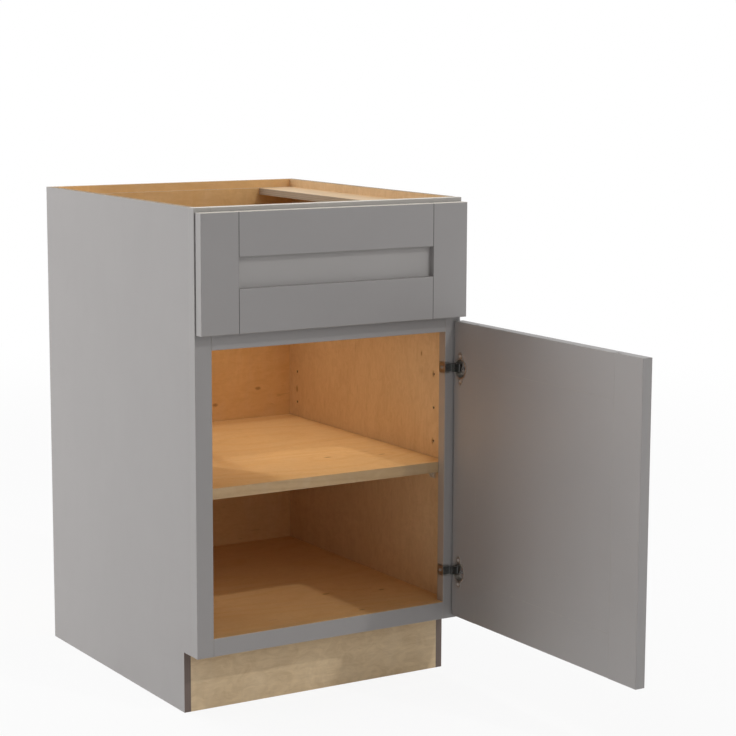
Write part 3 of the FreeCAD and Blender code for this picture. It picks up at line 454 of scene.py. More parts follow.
# the wood of one board: its figure on the faces, layers or end grain on the edges
def woodLook(tree, node, board):
    place = objectPlace(tree)
    axes = splitAxes(tree, place)
    board = dict(woodHabits[board["wood"]], **board)
    grain, through, shift = board["grain"], board["through"], board["shift"]
    across = ({"x", "y", "z"} - {grain, through}).pop()
    order = (grain, across, through)
    wires = {i: calc(tree, "ADD", axes[axis], shift[i]) for i, axis in enumerate(order)}
    along = addNode(tree, "CombineXYZ", wires).outputs[0]
    eye, lift = 0.0, 0.0
    for spot in board.get("knots", []):
        centre = tuple(spot["at"][axisNumber[axis]] + shift[i] for i, axis in enumerate(order))
        mark = useGroup(tree, knotGroup, {"Place": along, "Centre": centre, "Size": spot["size"]})
        eye = calc(tree, "MAXIMUM", mark["Eye"], eye)
        lift = calc(tree, "ADD", mark["Lift"], lift)
    tones = woodColours[board["wood"]]
    figure = useGroup(tree, figureGroup, {
        "Place": along, "Light": tones["light"], "Dark": tones["dark"], "Lines": board["lines"],
        "Line Depth": board["lineDepth"], "Flame": board["flame"], "Curl": board["curl"],
        "Cloud": board["cloud"], "Mottle": board["mottle"], "Fleck": board["fleck"],
        "Lift": lift, "Eye": eye,
    })
    low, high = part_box(node)
    thickness = (high - low)[axisNumber[through]]
    depth = calc(tree, "SUBTRACT", axes[through], low[axisNumber[through]])
    normals = splitAxes(tree, objectNormal(tree))
    if board.get("layers"):
        layers = useGroup(tree, layerGroup, {
            "Place": place, "Depth": depth, "Layer": thickness / board["layers"],
            "Light": board.get("layerLight", woodColours["layerLight"]),
            "Dark": board.get("layerDark", woodColours["layerDark"]),
        })
        edgeShare = ramp(tree, calc(tree, "ABSOLUTE", normals[through]), *facingLimits, 1.0, 0.0)
        edgeColour, edgeHeight = layers["Color"], layers["Height"]
    else:
        rings = noise(tree, stretched(tree, along, *woodFinish["ringScales"]), 1.0, 3.0, 0.6)
        edgeShare = ramp(tree, calc(tree, "ABSOLUTE", normals[grain]), *facingLimits)
        ringShare = ramp(tree, rings, 0.3, 0.7)
        edgeColour = blendColours(tree, ringShare, woodColours["endGrain"], tones["dark"])
        edgeHeight = calc(tree, "MULTIPLY", rings, woodFinish["ringHeight"])
    if board.get("banded"):  # a glued strip of the same wood hides the layers on the front edge
        front = facingShare(tree, normals, "y", -1.0)
        edgeShare = calc(tree, "MULTIPLY", edgeShare, calc(tree, "SUBTRACT", 1.0, front))
        strip = useGroup(tree, figureGroup, dict(
            bandingFigure, Place=vectorCalc(tree, "ADD", along, woodFinish["bandingShift"]),
            Light=woodColours["banding"], Dark=woodColours["bandingDark"]))
        faceColour = blendColours(tree, front, figure["Color"], strip["Color"])
    else:
        faceColour = figure["Color"]
    colour = blendColours(tree, edgeShare, faceColour, edgeColour)
    height = addNode(tree, "Mix", {0: edgeShare, 2: figure["Height"], 3: edgeHeight}).outputs[0]
    return place, colour, height, figure["Gloss"], edgeShare


def woodMaterial(node, board):
    material, tree, shader = newMaterial("wood_" + node)
    place, colour, height, gloss, edgeShare = woodLook(tree, node, board)
    finish = woodFinish
    worn = useGroup(tree, edgeGroup, dict(finish["edge"], Place=place))
    film = useGroup(tree, filmGroup, {"Place": place})
    rubbedShare = calc(tree, "MULTIPLY", worn["Mask"], finish["rubbedShare"])
    rubbed = blendColours(tree, rubbedShare, colour, woodColours["rubbed"])
    dustShare = calc(tree, "MULTIPLY", film["Smear"], finish["dustShare"])
    dusty = blendColours(tree, dustShare, rubbed, woodColours["dust"])
    base = calc(tree, "ADD", gloss, board.get("rough", finish["rough"]))
    rough = calc(tree, "ADD", base, calc(tree, "MULTIPLY", edgeShare, finish["edgeRough"]))
    smeared = calc(tree, "ADD", rough, calc(tree, "MULTIPLY", film["Smear"], finish["smearRough"]))
    constants = dict(finish["constants"])
    if "coat" in board:
        constants["Coat Weight"] = board["coat"]
    normal = bump(tree, height, *finish["bump"], worn["Normal"])
    wireShader(tree, shader, dusty, smeared, normal, constants)
    return material


# one board: its wood, the way the grain runs, the way it is thin, and where in the wood it is cut
def cut(wood, grain, through, shift, **more):
    return dict(more, wood=wood, grain=grain, through=through, shift=shift)


def knot(x, y, z, size):
    return {"at": (x, y, z), "size": size}


greyLayers = {"layerLight": (0.46, 0.365, 0.275, 1), "layerDark": (0.385, 0.295, 0.21, 1)}
boards = {
    "back_panel": cut(
        "amberBirch", "x", "y", (2.3, 0.4, 0.0), layers=7, lines=7.0,
        knots=[knot(0.180, -0.0127, 0.455, 0.0042), knot(0.082, -0.0127, 0.429, 0.004),
               knot(-0.110, -0.0127, 0.700, 0.004)]),
    "bottom_panel": cut(
        "amberBirch", "x", "z", (0.7, 3.1, 0.0), layers=7, lines=8.0,
        knots=[knot(0.080, -0.452, 0.1397, 0.005), knot(0.080, -0.579, 0.1397, 0.004),
               knot(0.186, -0.477, 0.1397, 0.0042)]),
    "hanging_rail_back": cut("amberBirch", "x", "y", (5.2, 1.2, 0.0), layers=7),
    "top_brace_left": cut("birch", "y", "z", (1.9, 4.1, 0.0), layers=7, **greyLayers),
    "top_brace_right": cut("birch", "y", "z", (3.3, 2.2, 0.0), layers=7, **greyLayers),
    "shelf": cut(
        "amberBirch", "x", "z", (0.7, 3.1, 0.0), layers=11, lines=8.0, banded=True,
        knots=[knot(0.0847, -0.4505, 0.39635, 0.005), knot(0.1853, -0.476, 0.39635, 0.0042)]),
    "toe_kick_board": cut(
        "toe", "x", "y", (4.4, 0.9, 0.0), layers=7, lines=11.0, lineDepth=0.12, flame=0.4, curl=1.05,
        cloud=0.14, mottle=0.40, fleck=0.2, rough=0.5, coat=0.0),
    "drawer_side_left": cut("maple", "y", "x", (0.3, 0.5, 0.1)),
    "drawer_side_right": cut("maple", "y", "x", (2.3, 1.5, 0.1)),
    "drawer_box_front": cut("maple", "x", "y", (4.3, 2.5, 0.1)),
    "drawer_box_back": cut("maple", "x", "y", (6.3, 0.9, 0.1)),
    "drawer_bottom": cut("maple", "y", "z", (1.3, 6.5, 0.0), layers=5),
    "insert_base": cut("insert", "x", "z", (7.3, 0.5, 0.0), layers=5),
    "insert_wall_left": cut("insert", "y", "x", (0.9, 7.5, 0.0)),
    "insert_wall_right": cut("insert", "y", "x", (1.6, 8.5, 0.0)),
    "insert_dividers": cut("insert", "x", "y", (8.1, 1.5, 0.0)),
    "insert_cover": cut("insert", "x", "z", (9.2, 3.5, 0.0), layers=5),
}

sideLook = {
    "layers": 7, "lines": 7.0, "mottle": 0.48, "fleck": 0.2,
    "layerLight": (0.50, 0.37, 0.23, 1), "layerDark": (0.20, 0.135, 0.09, 1),
}
sideBoards = {
    "side_panel_left": cut("birch", "z", "x", (2.9, 0.4, 0.0), knots=[knot(-0.254, -0.300, 0.610, 0.004)],
                           **sideLook),
    "side_panel_right": cut(
        "birch", "z", "x", (6.1, 1.7, 0.0),
        knots=[knot(0.254, -0.043, 0.452, 0.0045), knot(0.254, -0.543, 0.550, 0.004),
               knot(0.254, -0.542, 0.4255, 0.004), knot(0.254, -0.503, 0.583, 0.003)],
        **sideLook),
}
sideFinish = {
    "outside": (0.26655, 0.26665),  # |x| between which the paint begins
    "toeTop": 0.12,  # the front edges below this height are stained
    "stain": 0.93,
    "bump": (0.25, 0.0002),
    "constants": {"Coat Weight": 0.05, "Coat Roughness": 0.35, "Specular IOR Level": 0.32},
}

paintSettings = {
    "colour": (0.345, 0.328, 0.322, 1),
    "panel": (0.405, 0.386, 0.375, 1),  # the drawer panel's paint is paler than the rails': painted light that offsets the shade in its recess
    "paintedLightCream": (0.86, 0.80, 0.70, 1),  # painted highlight on the top faces, and painted light on the strip above the drawer
    # painted warm bounce light for the stiles' inner faces
    "paintedLight": (0.58, 0.39, 0.21, 1),
    "sillBounceColour": (0.74, 0.45, 0.195, 1),  # painted warm bounce light from the floor panel on the rail's top
    "dust": (0.52, 0.50, 0.48, 1),
    "thin": (0.60, 0.53, 0.45, 1),  # where the edge is rubbed
    "rough": 0.40,
    "smearRough": 0.07,
    "peelRough": 0.06,
    "grainScales": (18.0, 420.0, 420.0),  # of the grain that telegraphs, along it first
    "grainHeight": 0.35,
    "peelScale": 520.0,
    "peelHeight": 0.5,
    "edge": {"Radius": 0.0009, "Breakup": 70.0},
    "deep": 0.975,  # the coat's darker patches
    "dustShare": 0.015,
    "thinShare": 0.45,
    "seam": 0.0007,  # half width of a painted joint line
    "seamDark": 0.42,
    "seamSink": 1.5,
    "bump": (0.16, 0.0002),
    "constants": {"Specular IOR Level": 0.42},
}


def shaded(colour, share):
    return tuple(channel * share for channel in colour[:3]) + (1.0,)


# satin paint: an even coat with orange peel, the wood's grain just telegraphing through, and rubbed edges
def paintLook(tree, place, grain, colour=None):
    paint = paintSettings
    axes = splitAxes(tree, place)
    order = [grain] + [axis for axis in "xyz" if axis != grain]
    scales = paint["grainScales"]
    wires = {i: calc(tree, "MULTIPLY", axes[axis], scales[i]) for i, axis in enumerate(order)}
    telegraph = noise(tree, addNode(tree, "CombineXYZ", wires).outputs[0], 1.0, 3.0, 0.6)
    film = useGroup(tree, filmGroup, {"Place": place, "Peel": paint["peelScale"]})
    worn = useGroup(tree, edgeGroup, dict(paint["edge"], Place=place))
    plain = colour or paint["colour"]
    patchShare = ramp(tree, film["Patch"], 0.3, 0.7)
    coat = blendColours(tree, patchShare, plain, shaded(plain, paint["deep"]))
    dustShare = calc(tree, "MULTIPLY", film["Smear"], paint["dustShare"])
    dusty = blendColours(tree, dustShare, coat, paint["dust"])
    thinShare = calc(tree, "MULTIPLY", worn["Mask"], paint["thinShare"])
    rubbed = blendColours(tree, thinShare, dusty, paint["thin"])
    peel = calc(tree, "MULTIPLY", film["Peel"], paint["peelHeight"])
    height = calc(tree, "ADD", peel, calc(tree, "MULTIPLY", telegraph, paint["grainHeight"]))
    rough = calc(tree, "ADD", calc(tree, "MULTIPLY", film["Smear"], paint["smearRough"]), paint["rough"])
    fine = calc(tree, "ADD", rough, calc(tree, "MULTIPLY", film["Peel"], paint["peelRough"]))
    return rubbed, height, fine, worn["Normal"]


# 1 where every named axis lies between its two limits
def inside(tree, axes, limits, share):
    for axis, least, most in limits:
        low = calc(tree, "GREATER_THAN", axes[axis], least)
        high = calc(tree, "LESS_THAN", axes[axis], most)
        share = calc(tree, "MULTIPLY", share, calc(tree, "MULTIPLY", low, high))
    return share


def paintMaterial(name, grain, seams=None, plain=None, paintedLight=None):
    paint = paintSettings
    material, tree, shader = newMaterial(name)
    place = objectPlace(tree)
    colour, height, rough, normal = paintLook(tree, place, grain, plain)
    axes = splitAxes(tree, place)
    facing = splitAxes(tree, objectNormal(tree))
    for spot in paintedLight or []:  # faces with painted light: highlights on tops, a lift above the drawer, warm bounce on inner faces
        share = facingShare(tree, facing, spot["axis"], spot["sign"])
        share = inside(tree, axes, spot["within"], share)
        colour = blendColours(tree, calc(tree, "MULTIPLY", share, spot["share"]), colour, spot["colour"])
    for seam in seams or []:  # a joint between two pieces under one coat of paint
        off = calc(tree, "ABSOLUTE", calc(tree, "SUBTRACT", axes[seam["axis"]], seam["at"]))
        line = ramp(tree, off, paint["seam"] * 0.5, paint["seam"] * 1.5, 1.0, 0.0)
        line = inside(tree, axes, seam["within"], line)
        shade = calc(tree, "MULTIPLY", line, seam.get("depth", 1.0))
        colour = blendColours(tree, shade, colour, shaded(paint["colour"], paint["seamDark"]))
        height = calc(tree, "SUBTRACT", height, calc(tree, "MULTIPLY", line, paint["seamSink"]))
    normal = bump(tree, height, *paint["bump"], normal)
    wireShader(tree, shader, colour, rough, normal, paint["constants"])
    return material


# a side panel: painted outside, clear-coated birch inside, layers along its edges
def sideMaterial(node, board):
    material, tree, shader = newMaterial("side_" + node)
    place, wood, woodHeight, gloss, edgeShare = woodLook(tree, node, board)
    paint, paintHeight, paintRough, normal = paintLook(tree, place, "z")
    axes = splitAxes(tree, place)
    outside = ramp(tree, calc(tree, "ABSOLUTE", axes["x"]), *sideFinish["outside"])
    front = facingShare(tree, splitAxes(tree, objectNormal(tree)), "y", -1.0)
    stained = calc(tree, "MULTIPLY", front, calc(tree, "LESS_THAN", axes["z"], sideFinish["toeTop"]))
    stain = calc(tree, "MULTIPLY", stained, sideFinish["stain"])
    inner = blendColours(tree, stain, wood, woodColours["toeEdge"])
    colour = blendColours(tree, outside, inner, paint)
    edgeRough = calc(tree, "MULTIPLY", edgeShare, woodFinish["edgeRough"])
    woodRough = calc(tree, "ADD", calc(tree, "ADD", gloss, woodFinish["rough"]), edgeRough)
    rough = addNode(tree, "Mix", {0: outside, 2: woodRough, 3: paintRough}).outputs[0]
    height = addNode(tree, "Mix", {0: outside, 2: woodHeight, 3: paintHeight}).outputs[0]
    normal = bump(tree, height, *sideFinish["bump"], normal)
    wireShader(tree, shader, colour, rough, normal, sideFinish["constants"])
    return material


metalSettings = {
    "nickel": {
        "colour": (0.40, 0.385, 0.36, 1), "worn": (0.56, 0.54, 0.51, 1),
        "rough": 0.30, "spread": 0.16, "grain": 260.0,
    },
    # painted shade: a darker copy of the nickel for the hinge arms, which sit in shadow
    "shadedNickel": {
        "colour": (0.17, 0.172, 0.166, 1), "worn": (0.36, 0.355, 0.34, 1),
        "rough": 0.30, "spread": 0.16, "grain": 260.0,
    },
    # the hinge cups: their near-white worn colour paints highlights on the rims as well as rubbed plating
    "satinNickel": {
        "colour": (0.45, 0.425, 0.395, 1), "worn": (0.90, 0.88, 0.85, 1),
        "rough": 0.34, "spread": 0.14, "grain": 260.0,
    },
    "zinc": {
        "colour": (0.60, 0.61, 0.63, 1), "worn": (0.74, 0.75, 0.76, 1),
        "rough": 0.34, "spread": 0.18, "grain": 140.0,
    },
    "screw": {
        "colour": (0.50, 0.48, 0.45, 1), "worn": (0.66, 0.64, 0.61, 1),
        "rough": 0.34, "spread": 0.12, "grain": 500.0,
    },
}
metalFinish = {
    "rollScales": (600.0, 22.0, 600.0),  # rolling marks run along y
    "edge": {"Radius": 0.0005, "Breakup": 300.0},
    "deep": 0.78,  # the plating's darker clouds
    "wornShare": 0.6,
    "spangleHeight": 0.5,
    "bump": (0.12, 0.0001),
}


# plated steel: rolling marks along y, cloudy plating, bright rubbed edges, which on the hinge cups are
# painted highlights
def metalMaterial(name, settings):
    material, tree, shader = newMaterial(name)
    place = objectPlace(tree)
    finish = metalFinish
    rolled = noise(tree, stretched(tree, place, *finish["rollScales"]), 1.0, 3.0, 0.6)
    spangle = noise(tree, place, settings["grain"], 2.0, 0.5, 0.8)
    worn = useGroup(tree, edgeGroup, dict(finish["edge"], Place=place))
    deep = shaded(settings["colour"], finish["deep"])
    plated = blendColours(tree, ramp(tree, spangle, 0.3, 0.7), settings["colour"], deep)
    wornShare = calc(tree, "MULTIPLY", worn["Mask"], finish["wornShare"])
    bright = blendColours(tree, wornShare, plated, settings["worn"])
    uneven = calc(tree, "MULTIPLY", calc(tree, "ADD", rolled, spangle), settings["spread"] * 0.5)
    rough = calc(tree, "ADD", uneven, settings["rough"])
    height = calc(tree, "ADD", rolled, calc(tree, "MULTIPLY", spangle, finish["spangleHeight"]))
    normal = bump(tree, height, *finish["bump"], worn["Normal"])
    wireShader(tree, shader, bright, rough, normal, {"Metallic": 1.0})
    return material


plasticSettings = {
    "grey": {"colour": (0.105, 0.107, 0.112, 1), "pale": (0.19, 0.19, 0.195, 1), "rough": 0.46},
    "orange": {"colour": (0.72, 0.21, 0.022, 1), "pale": (0.84, 0.36, 0.10, 1), "rough": 0.38},
    "damper": {"colour": (0.24, 0.24, 0.245, 1), "pale": (0.34, 0.34, 0.345, 1), "rough": 0.42},
    "milky": {"colour": (0.86, 0.75, 0.60, 1), "pale": (0.93, 0.88, 0.80, 1), "rough": 0.18},
}
plasticFinish = {
    "sparkScale": 1600.0,
    "sparkRough": 0.14,
    "flowScales": (60.0, 25.0, 60.0),
    "flowShare": 0.25,
    "edge": {"Radius": 0.0004, "Breakup": 260.0},
    "wornShare": 0.6,
    "bump": (0.2, 0.00008),
    "bending": 1.49,  # refraction index
}


# moulded plastic: fine spark texture, flow marks, paler rubbed edges
def plasticMaterial(name, settings, clear=0.0):
    material, tree, shader = newMaterial(name)
    place = objectPlace(tree)
    finish = plasticFinish
    spark = noise(tree, place, finish["sparkScale"], 2.0, 0.6)
    flow = noise(tree, stretched(tree, place, *finish["flowScales"]), 1.0, 2.0, 0.5, 1.0)
    worn = useGroup(tree, edgeGroup, dict(finish["edge"], Place=place))
    flowShare = calc(tree, "MULTIPLY", ramp(tree, flow, 0.35, 0.7), finish["flowShare"])
    tinted = blendColours(tree, flowShare, settings["colour"], settings["pale"])
    wornShare = calc(tree, "MULTIPLY", worn["Mask"], finish["wornShare"])
    rubbed = blendColours(tree, wornShare, tinted, settings["pale"])
    rough = calc(tree, "ADD", calc(tree, "MULTIPLY", spark, finish["sparkRough"]), settings["rough"])
    normal = bump(tree, spark, *finish["bump"], worn["Normal"])
    constants = {"Transmission Weight": clear, "IOR": finish["bending"]}
    wireShader(tree, shader, rubbed, rough, normal, constants)
    return material


def dress(node, material):
    piece = nodes[node]
    if not piece.material_slots:
        piece.data.materials.append(material)
    for slot in piece.material_slots:
        slot.material = material


for name, board in boards.items():
    dress(name, woodMaterial(name, board))
for name, board in sideBoards.items():
    dress(name, sideMaterial(name, board))
print("boards dressed:", len(boards) + len(sideBoards))

# painted pieces by the way their grain runs, with the joint lines that show through the coat and the
# faces that carry painted light
frontFace = [("y", -0.64, -0.6305)]
drawerSeams = [{"axis": "x", "at": side * 0.1937, "within": frontFace} for side in (-1, 1)]
doorFace = [("x", 0.2705, 0.28)]
doorSeams = [{"axis": "y", "at": -1.0719, "within": doorFace, "depth": 0.8},
             {"axis": "y", "at": -0.6845, "within": doorFace, "depth": 0.8}]


# a face with painted light: which way it looks, how strongly the colour goes on, what colour goes on, and
# where
def paintedLightFace(axis, sign, share, tone, within=()):
    return {"axis": axis, "sign": sign, "share": share, "colour": paintSettings[tone], "within": within}


# painted highlight: the frame's and drawer front's top faces are coloured near-white, as if caught by the
# top light
paintedTopHighlight = paintedLightFace("z", 1.0, 0.9, "paintedLightCream")
# painted light: a paler band on the frame's front just above the drawer front, lifting the shade its
# overhang casts
paintedBrowLight = paintedLightFace("y", -1.0, 0.2, "paintedLightCream", [("z", 0.868, 0.88)])
# painted bounce light: the bottom rail's grey top takes the floor panel's orange
paintedSillBounce = paintedLightFace("z", 1.0, 1.0, "sillBounceColour", [("z", 0.0, 0.2)])
# painted bounce light: a warm tan on the stiles' inner faces, for the light the wood inside throws on
# them
paintedBounceLeft = paintedLightFace("x", -1.0, 0.3, "paintedLight")
paintedBounceRight = paintedLightFace("x", 1.0, 0.3, "paintedLight")
painted = {
    "paint_frame_left": {"grain": "z", "paintedLight": [paintedTopHighlight, paintedBrowLight, paintedBounceRight],
                         "on": ["frame_stile_left"]},
    "paint_frame_right": {"grain": "z", "paintedLight": [paintedTopHighlight, paintedBrowLight, paintedBounceLeft],
                          "on": ["frame_stile_right"]},
    "paint_frame_top": {"grain": "x", "paintedLight": [paintedTopHighlight, paintedBrowLight], "on": ["frame_rail_top"]},
    "paint_frame_cross": {"grain": "x", "paintedLight": [paintedSillBounce],
                          "on": ["frame_rail_middle", "frame_rail_bottom"]},
    "paint_door_upright": {"grain": "z", "seams": doorSeams,
                           "on": ["door_stile_free", "door_stile_hinge", "door_panel"]},
    "paint_door_cross": {"grain": "y", "seams": doorSeams, "on": ["door_rail_top", "door_rail_bottom"]},
    "paint_drawer_upright": {"grain": "z", "seams": drawerSeams, "paintedLight": [paintedTopHighlight],
                             "on": ["drawer_front_stile_left", "drawer_front_stile_right"]},
    "paint_drawer_top": {"grain": "x", "seams": drawerSeams, "paintedLight": [paintedTopHighlight],
                         "on": ["drawer_front_rail_top"]},
    "paint_drawer_bottom": {"grain": "x", "seams": drawerSeams, "on": ["drawer_front_rail_bottom"]},
    "paint_drawer_panel": {"grain": "x", "plain": paintSettings["panel"], "on": ["drawer_front_panel"]},
}
for name, look in painted.items():
    material = paintMaterial(name, look["grain"], look.get("seams"), look.get("plain"), look.get("paintedLight"))
    for piece in look["on"]:
        dress(piece, material)
print("painted pieces dressed")

nickel = metalMaterial("nickel_plate", metalSettings["nickel"])
zinc = metalMaterial("zinc_plate", metalSettings["zinc"])
screwSteel = metalMaterial("screw_steel", metalSettings["screw"])
greyPlastic = plasticMaterial("grey_moulding", plasticSettings["grey"])
orangePlastic = plasticMaterial("orange_moulding", plasticSettings["orange"])
damperPlastic = plasticMaterial("damper_moulding", plasticSettings["damper"])
milkyPlastic = plasticMaterial("milky_moulding", plasticSettings["milky"], clear=0.3)
shadedNickel = metalMaterial("shaded_nickel_plate", metalSettings["shadedNickel"])
satinNickel = metalMaterial("satin_nickel_plate", metalSettings["satinNickel"])
hardware = [
    (nickel, ["hinge_plate_upper", "hinge_plate_lower", "hinge_pins"]),
    (shadedNickel, ["hinge_arm_upper", "hinge_arm_lower"]),
    (satinNickel, ["hinge_cup_upper", "hinge_cup_lower"]),
    (damperPlastic, ["hinge_dampers"]),
    (zinc, ["slide_cabinet_left", "slide_cabinet_right", "slide_middle_left", "slide_middle_right",
            "slide_drawer_left", "slide_drawer_right"]),
    (greyPlastic, ["slide_rear_bracket_left", "slide_rear_bracket_right",
                   "drawer_catch_left", "drawer_catch_right"]),
    (orangePlastic, ["catch_lever_left", "catch_lever_right"]),
    (milkyPlastic, ["shelf_supports"]),
]
for material, pieces in hardware:
    for piece in pieces:
        dress(piece, material)
print("hardware dressed")


# screw heads
screwSettings = {
    "radius": 0.0034,
    "height": 0.0011,
    "rim": 0.00035,  # the straight edge under the dome
    "recess": 0.0010,
    "slot": 0.00052,  # half width of the cross
    "reach": 0.0019,  # how far the cross runs out
    "slotFade": (1.35, 0.5),  # slot widths where the cross ends, and over which it rises
    "reachFade": (1.2, 0.35),  # the same in reaches
    "under": 0.0001,  # what the cross leaves of the head
    "lowest": 0.00005,  # over the seat
    "middle": 0.04,  # radius of the first ring, as a share of the head's
    "around": 48,
    "rings": 13,
    "turns": (0.35, 1.1),  # how far the first head is turned, and each next one more
}


# one head on a polar grid: height is a shallow parabola of the radius, less a cross that is deep where
# the smaller of |x| and |y| is under the slot width and the radius is inside the reach, then a straight
# rim down to the seat
def screwHead(settings, height):
    around = np.linspace(0, 2 * np.pi, settings["around"], endpoint=False)
    share = np.linspace(settings["middle"], 1.0, settings["rings"])
    radius = settings["radius"] * share[:, None]
    x, y = radius * np.cos(around), radius * np.sin(around)
    dome = settings["rim"] + (height - settings["rim"]) * (1 - share[:, None] ** 2) + 0 * x
    narrow = np.minimum(np.abs(x), np.abs(y)) / settings["slot"]
    reached = np.hypot(x, y) / settings["reach"]
    slotEnd, slotRise = settings["slotFade"]
    reachEnd, reachRise = settings["reachFade"]
    cross = np.clip((slotEnd - narrow) / slotRise, 0, 1) * np.clip((reachEnd - reached) / reachRise, 0, 1)
    sunk = min(settings["recess"], height - settings["under"])
    z = np.maximum(dome - cross * sunk, settings["lowest"])
    top = np.stack([x, y, z], -1)
    seat = np.stack([x[-1], y[-1], 0 * x[-1]], -1)[None]
    return np.concatenate([top, seat])


# rings of points to a closed skin: quads between neighbours, a fan at each end
def closedRings(rings):
    count, around = rings.shape[:2]
    index = np.arange(count * around).reshape(count, around)
    ahead = np.roll(index, -1, 1)
    quads = np.stack([index[:-1], index[1:], ahead[1:], ahead[:-1]], -1).reshape(-1, 4)
    first, last = count * around, count * around + 1
    points = np.concatenate([rings.reshape(-1, 3), rings[0].mean(0)[None], rings[-1].mean(0)[None]])
    fanTop = np.stack([np.full(around, first), index[0], ahead[0]], -1)
    fanSeat = np.stack([np.full(around, last), ahead[-1], index[-1]], -1)
    return points, quads, np.concatenate([fanTop, fanSeat])


def meshPiece(name, points, quads, triangles, material, body, slot):
    mesh = bpy.data.meshes.new(name)
    mesh.from_pydata(points.tolist(), [], quads.tolist() + triangles.tolist())
    mesh.materials.append(material)
    mesh.validate()
    piece = bpy.data.objects.new(name, mesh)
    scene.collection.objects.link(piece)
    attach(piece, body)


# a set of screws: each is the same head turned so that its axis is the seat's outward normal
def screwSet(name, seats, outward, body, slot, height=None, material=None):
    rings = screwHead(screwSettings, height or screwSettings["height"])
    out = np.asarray(outward, float)
    side = np.cross(out, (0.0, 0.0, 1.0))
    side /= np.linalg.norm(side)
    up = np.cross(out, side)
    allPoints, allQuads, allTriangles, start = [], [], [], 0
    for number, seat in enumerate(seats):
        angle = screwSettings["turns"][0] + screwSettings["turns"][1] * number
        first = side * math.cos(angle) + up * math.sin(angle)
        second = np.cross(out, first)
        turned = rings[..., :1] * first + rings[..., 1:2] * second + rings[..., 2:] * out
        placed = turned + np.asarray(seat)
        points, quads, triangles = closedRings(placed)
        allPoints.append(points)
        allQuads.append(quads + start)
        allTriangles.append(triangles + start)
        start += len(points)
    skin = [np.concatenate(part) for part in (allPoints, allQuads, allTriangles)]
    meshPiece(name, *skin, material or screwSteel, body, slot)


screwSet("hinge_cup_screws", [(0.2509, -0.6336, z) for z in (0.1758, 0.2208, 0.5491, 0.5941)],
         (-1, 0, 0), "door", "nickel_steel")
screwSet("hinge_plate_screws", [(0.23375, -0.6011, z) for z in (0.1983, 0.5716)],
         (-1, 0, 0), "cabinet", "nickel_steel", material=nickel)
screwSet("slide_screw_left", [(-0.23345, -0.600075, 0.68905)], (1, 0, 0), "cabinet", "zinc_steel")
screwSet("slide_screw_right", [(0.23345, -0.600075, 0.68905)], (-1, 0, 0), "cabinet", "zinc_steel")
screwSet("rear_bracket_screws",
         [(x, -0.0157, z) for x in (-0.19995, 0.19995) for z in (0.67705, 0.69905)],
         (0, -1, 0), "cabinet", "zinc_steel")
screwSet("drawer_front_screws",
         [(x, -0.596225, z) for x in (-0.2094, 0.2094) for z in (0.7159, 0.77615)],
         (0, 1, 0), "drawer", "zinc_steel", height=0.0008)
print("screws placed")

# room: a pale floor and a white surround
roomSettings = {
    "floorHalf": 14.0,
    "floorColour": (0.85, 0.85, 0.85, 1),
    "floorDeep": 0.97,
    "floorGrain": 3.0,
    "floorRough": 0.8,
    "floorSpecular": 0.1,
    "seenWhite": (0.9, 1.0),  # share of plain white over the lit floor, near and far off
    "fade": (1.2, 4.0),  # metres from the middle between which that changes
    "ambient": 0.205,
    "ambientColour": (0.97, 0.985, 1.0, 1),
}
middle = (0, -0.4, 0.45)
lamps = {
    "sideLamp": {"place": (-3.4, 1.1, 0.7), "aim": middle, "size": 2.2, "power": 71.0},
    "backLamp": {"place": (-1.2, 2.2, 3.0), "aim": middle, "size": 2.2, "power": 45.0},
    "rightLamp": {"place": (3.8, -0.6, 1.6), "aim": middle, "size": 2.2, "power": 55.0},
    "frontLamp": {"place": (0.6, -4.2, 2.0), "aim": middle, "size": 2.2, "power": 22.5},
    "topLamp": {"place": (-0.6, -0.35, 4.0), "aim": (0, -0.35, 0.88), "size": 0.9, "power": 17.0},
    # small and far, for the clear shadows of the door and the shelf's front edge
    "spot": {"place": (1.43, -4.25, 4.16), "aim": middle, "size": 0.16, "power": 46.0},
    # inside: light that the drawer box keeps from the shelf, the lower space and the door
    "shelfBeam": {"place": (0.042, -0.315, 0.655), "aim": (0.089, -0.33, 0.40), "size": 0.35,
                  "depth": 0.54, "spread": 9.0, "power": 0.098, "mirrored": False},
    "shelfGlow": {"place": (0.04, -0.315, 0.655), "aim": (0.04, -0.315, 0.40), "size": 0.36,
                  "depth": 0.54, "spread": 150.0, "power": 0.35, "colour": (1.0, 0.96, 0.84),
                  "mirrored": False},
    "lowGlow": {"place": (-0.15, -0.42, 0.33), "aim": (0.25, -0.2, 0.25), "size": 0.25, "power": 0.042,
                "mirrored": False},
    "doorGlow": {"place": (-0.05, -0.42, 0.42), "aim": (0.25, -0.80, 0.42), "size": 0.25, "spread": 70.0,
                 "power": 0.04, "colour": (1.0, 0.66, 0.38), "mirrored": False},
}


def cleanRays(tree):
    # 1 for rays that look straight at the surround, or see it in metal or through glass
    path = addNode(tree, "LightPath").outputs
    seen = calc(tree, "MAXIMUM", path["Is Camera Ray"], path["Is Glossy Ray"])
    return calc(tree, "MAXIMUM", seen, path["Is Transmission Ray"])


def makeWorld(settings):
    world = bpy.data.worlds.new("paleRoom")
    world.use_nodes = True
    tree = world.node_tree
    tree.nodes.clear()
    wires = {"Color": settings["ambientColour"], "Strength": settings["ambient"]}
    soft = addNode(tree, "Background", wires)
    white = addNode(tree, "Background", {"Color": (1, 1, 1, 1), "Strength": 1.0})
    mixed = addNode(tree, "MixShader", {0: cleanRays(tree), 1: soft.outputs[0], 2: white.outputs[0]})
    target = addNode(tree, "OutputWorld")
    tree.links.new(mixed.outputs[0], target.inputs["Surface"])
    scene.world = world


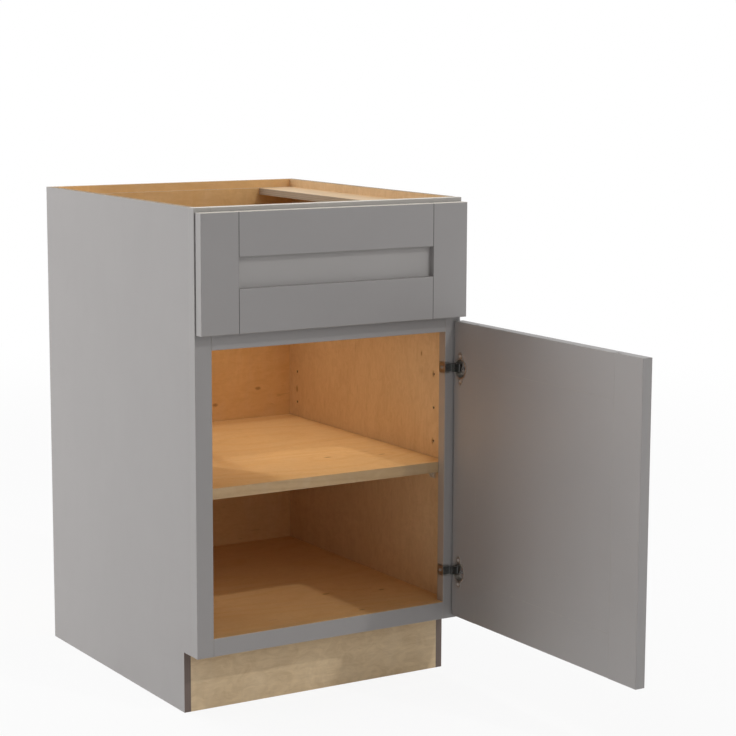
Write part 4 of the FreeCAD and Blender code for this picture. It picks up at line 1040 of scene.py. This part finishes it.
def makeFloor(settings):
    half = settings["floorHalf"]
    mesh = bpy.data.meshes.new("floor")
    corners = [(-half, -half, 0), (half, -half, 0), (half, half, 0), (-half, half, 0)]
    mesh.from_pydata(corners, [], [(0, 1, 2, 3)])
    floor = bpy.data.objects.new("floor", mesh)
    scene.collection.objects.link(floor)
    material, tree, shader = newMaterial("pale_floor")
    mottle = noise(tree, objectPlace(tree), settings["floorGrain"], 3.0)
    deep = tuple(channel * settings["floorDeep"] for channel in settings["floorColour"])
    tree.links.new(blendColours(tree, mottle, settings["floorColour"], deep), shader.inputs["Base Color"])
    shader.inputs["Roughness"].default_value = settings["floorRough"]
    shader.inputs["Specular IOR Level"].default_value = settings["floorSpecular"]
    glow = addNode(tree, "Emission", {"Color": (1, 1, 1, 1), "Strength": 1.0})
    away = addNode(tree, "VectorMath", {0: objectPlace(tree)}, operation="LENGTH").outputs["Value"]
    white = ramp(tree, away, *settings["fade"], *settings["seenWhite"])
    share = calc(tree, "MULTIPLY", cleanRays(tree), white)
    mixed = addNode(tree, "MixShader", {0: share, 1: shader.outputs[0], 2: glow.outputs[0]})
    # from below, the floor lets the view through to the cabinet's underside
    below = addNode(tree, "NewGeometry").outputs["Backfacing"]
    nothing = addNode(tree, "BsdfTransparent")
    whole = addNode(tree, "MixShader", {0: below, 1: mixed.outputs[0], 2: nothing.outputs[0]})
    target = next(node for node in tree.nodes if node.type == "OUTPUT_MATERIAL")
    tree.links.new(whole.outputs[0], target.inputs["Surface"])
    mesh.materials.append(material)


def makeLamp(name, settings):
    data = bpy.data.lights.new(name, "AREA")
    data.shape = "RECTANGLE" if "depth" in settings else "DISK"
    data.size = settings["size"]
    data.size_y = settings.get("depth", settings["size"])
    data.spread = math.radians(settings.get("spread", 180.0))
    data.energy = settings["power"]
    data.color = settings.get("colour", (1.0, 1.0, 1.0))
    lamp = bpy.data.objects.new(name, data)
    # the lamp looks along its own -z, and its width lies as near to world x as that allows
    place = Vector(settings["place"])
    back = (place - Vector(settings["aim"])).normalized()
    up = back.cross(Vector((1, 0, 0))).normalized()
    turned = Matrix((up.cross(back), up, back)).transposed().to_4x4()
    lamp.matrix_world = Matrix.Translation(place) @ turned
    lamp.visible_camera = False
    lamp.visible_glossy = settings.get("mirrored", True)
    scene.collection.objects.link(lamp)


makeWorld(roomSettings)
makeFloor(roomSettings)
for name, settings in lamps.items():
    makeLamp(name, settings)
scene.view_settings.view_transform = "Standard"
print("room and lamps set")
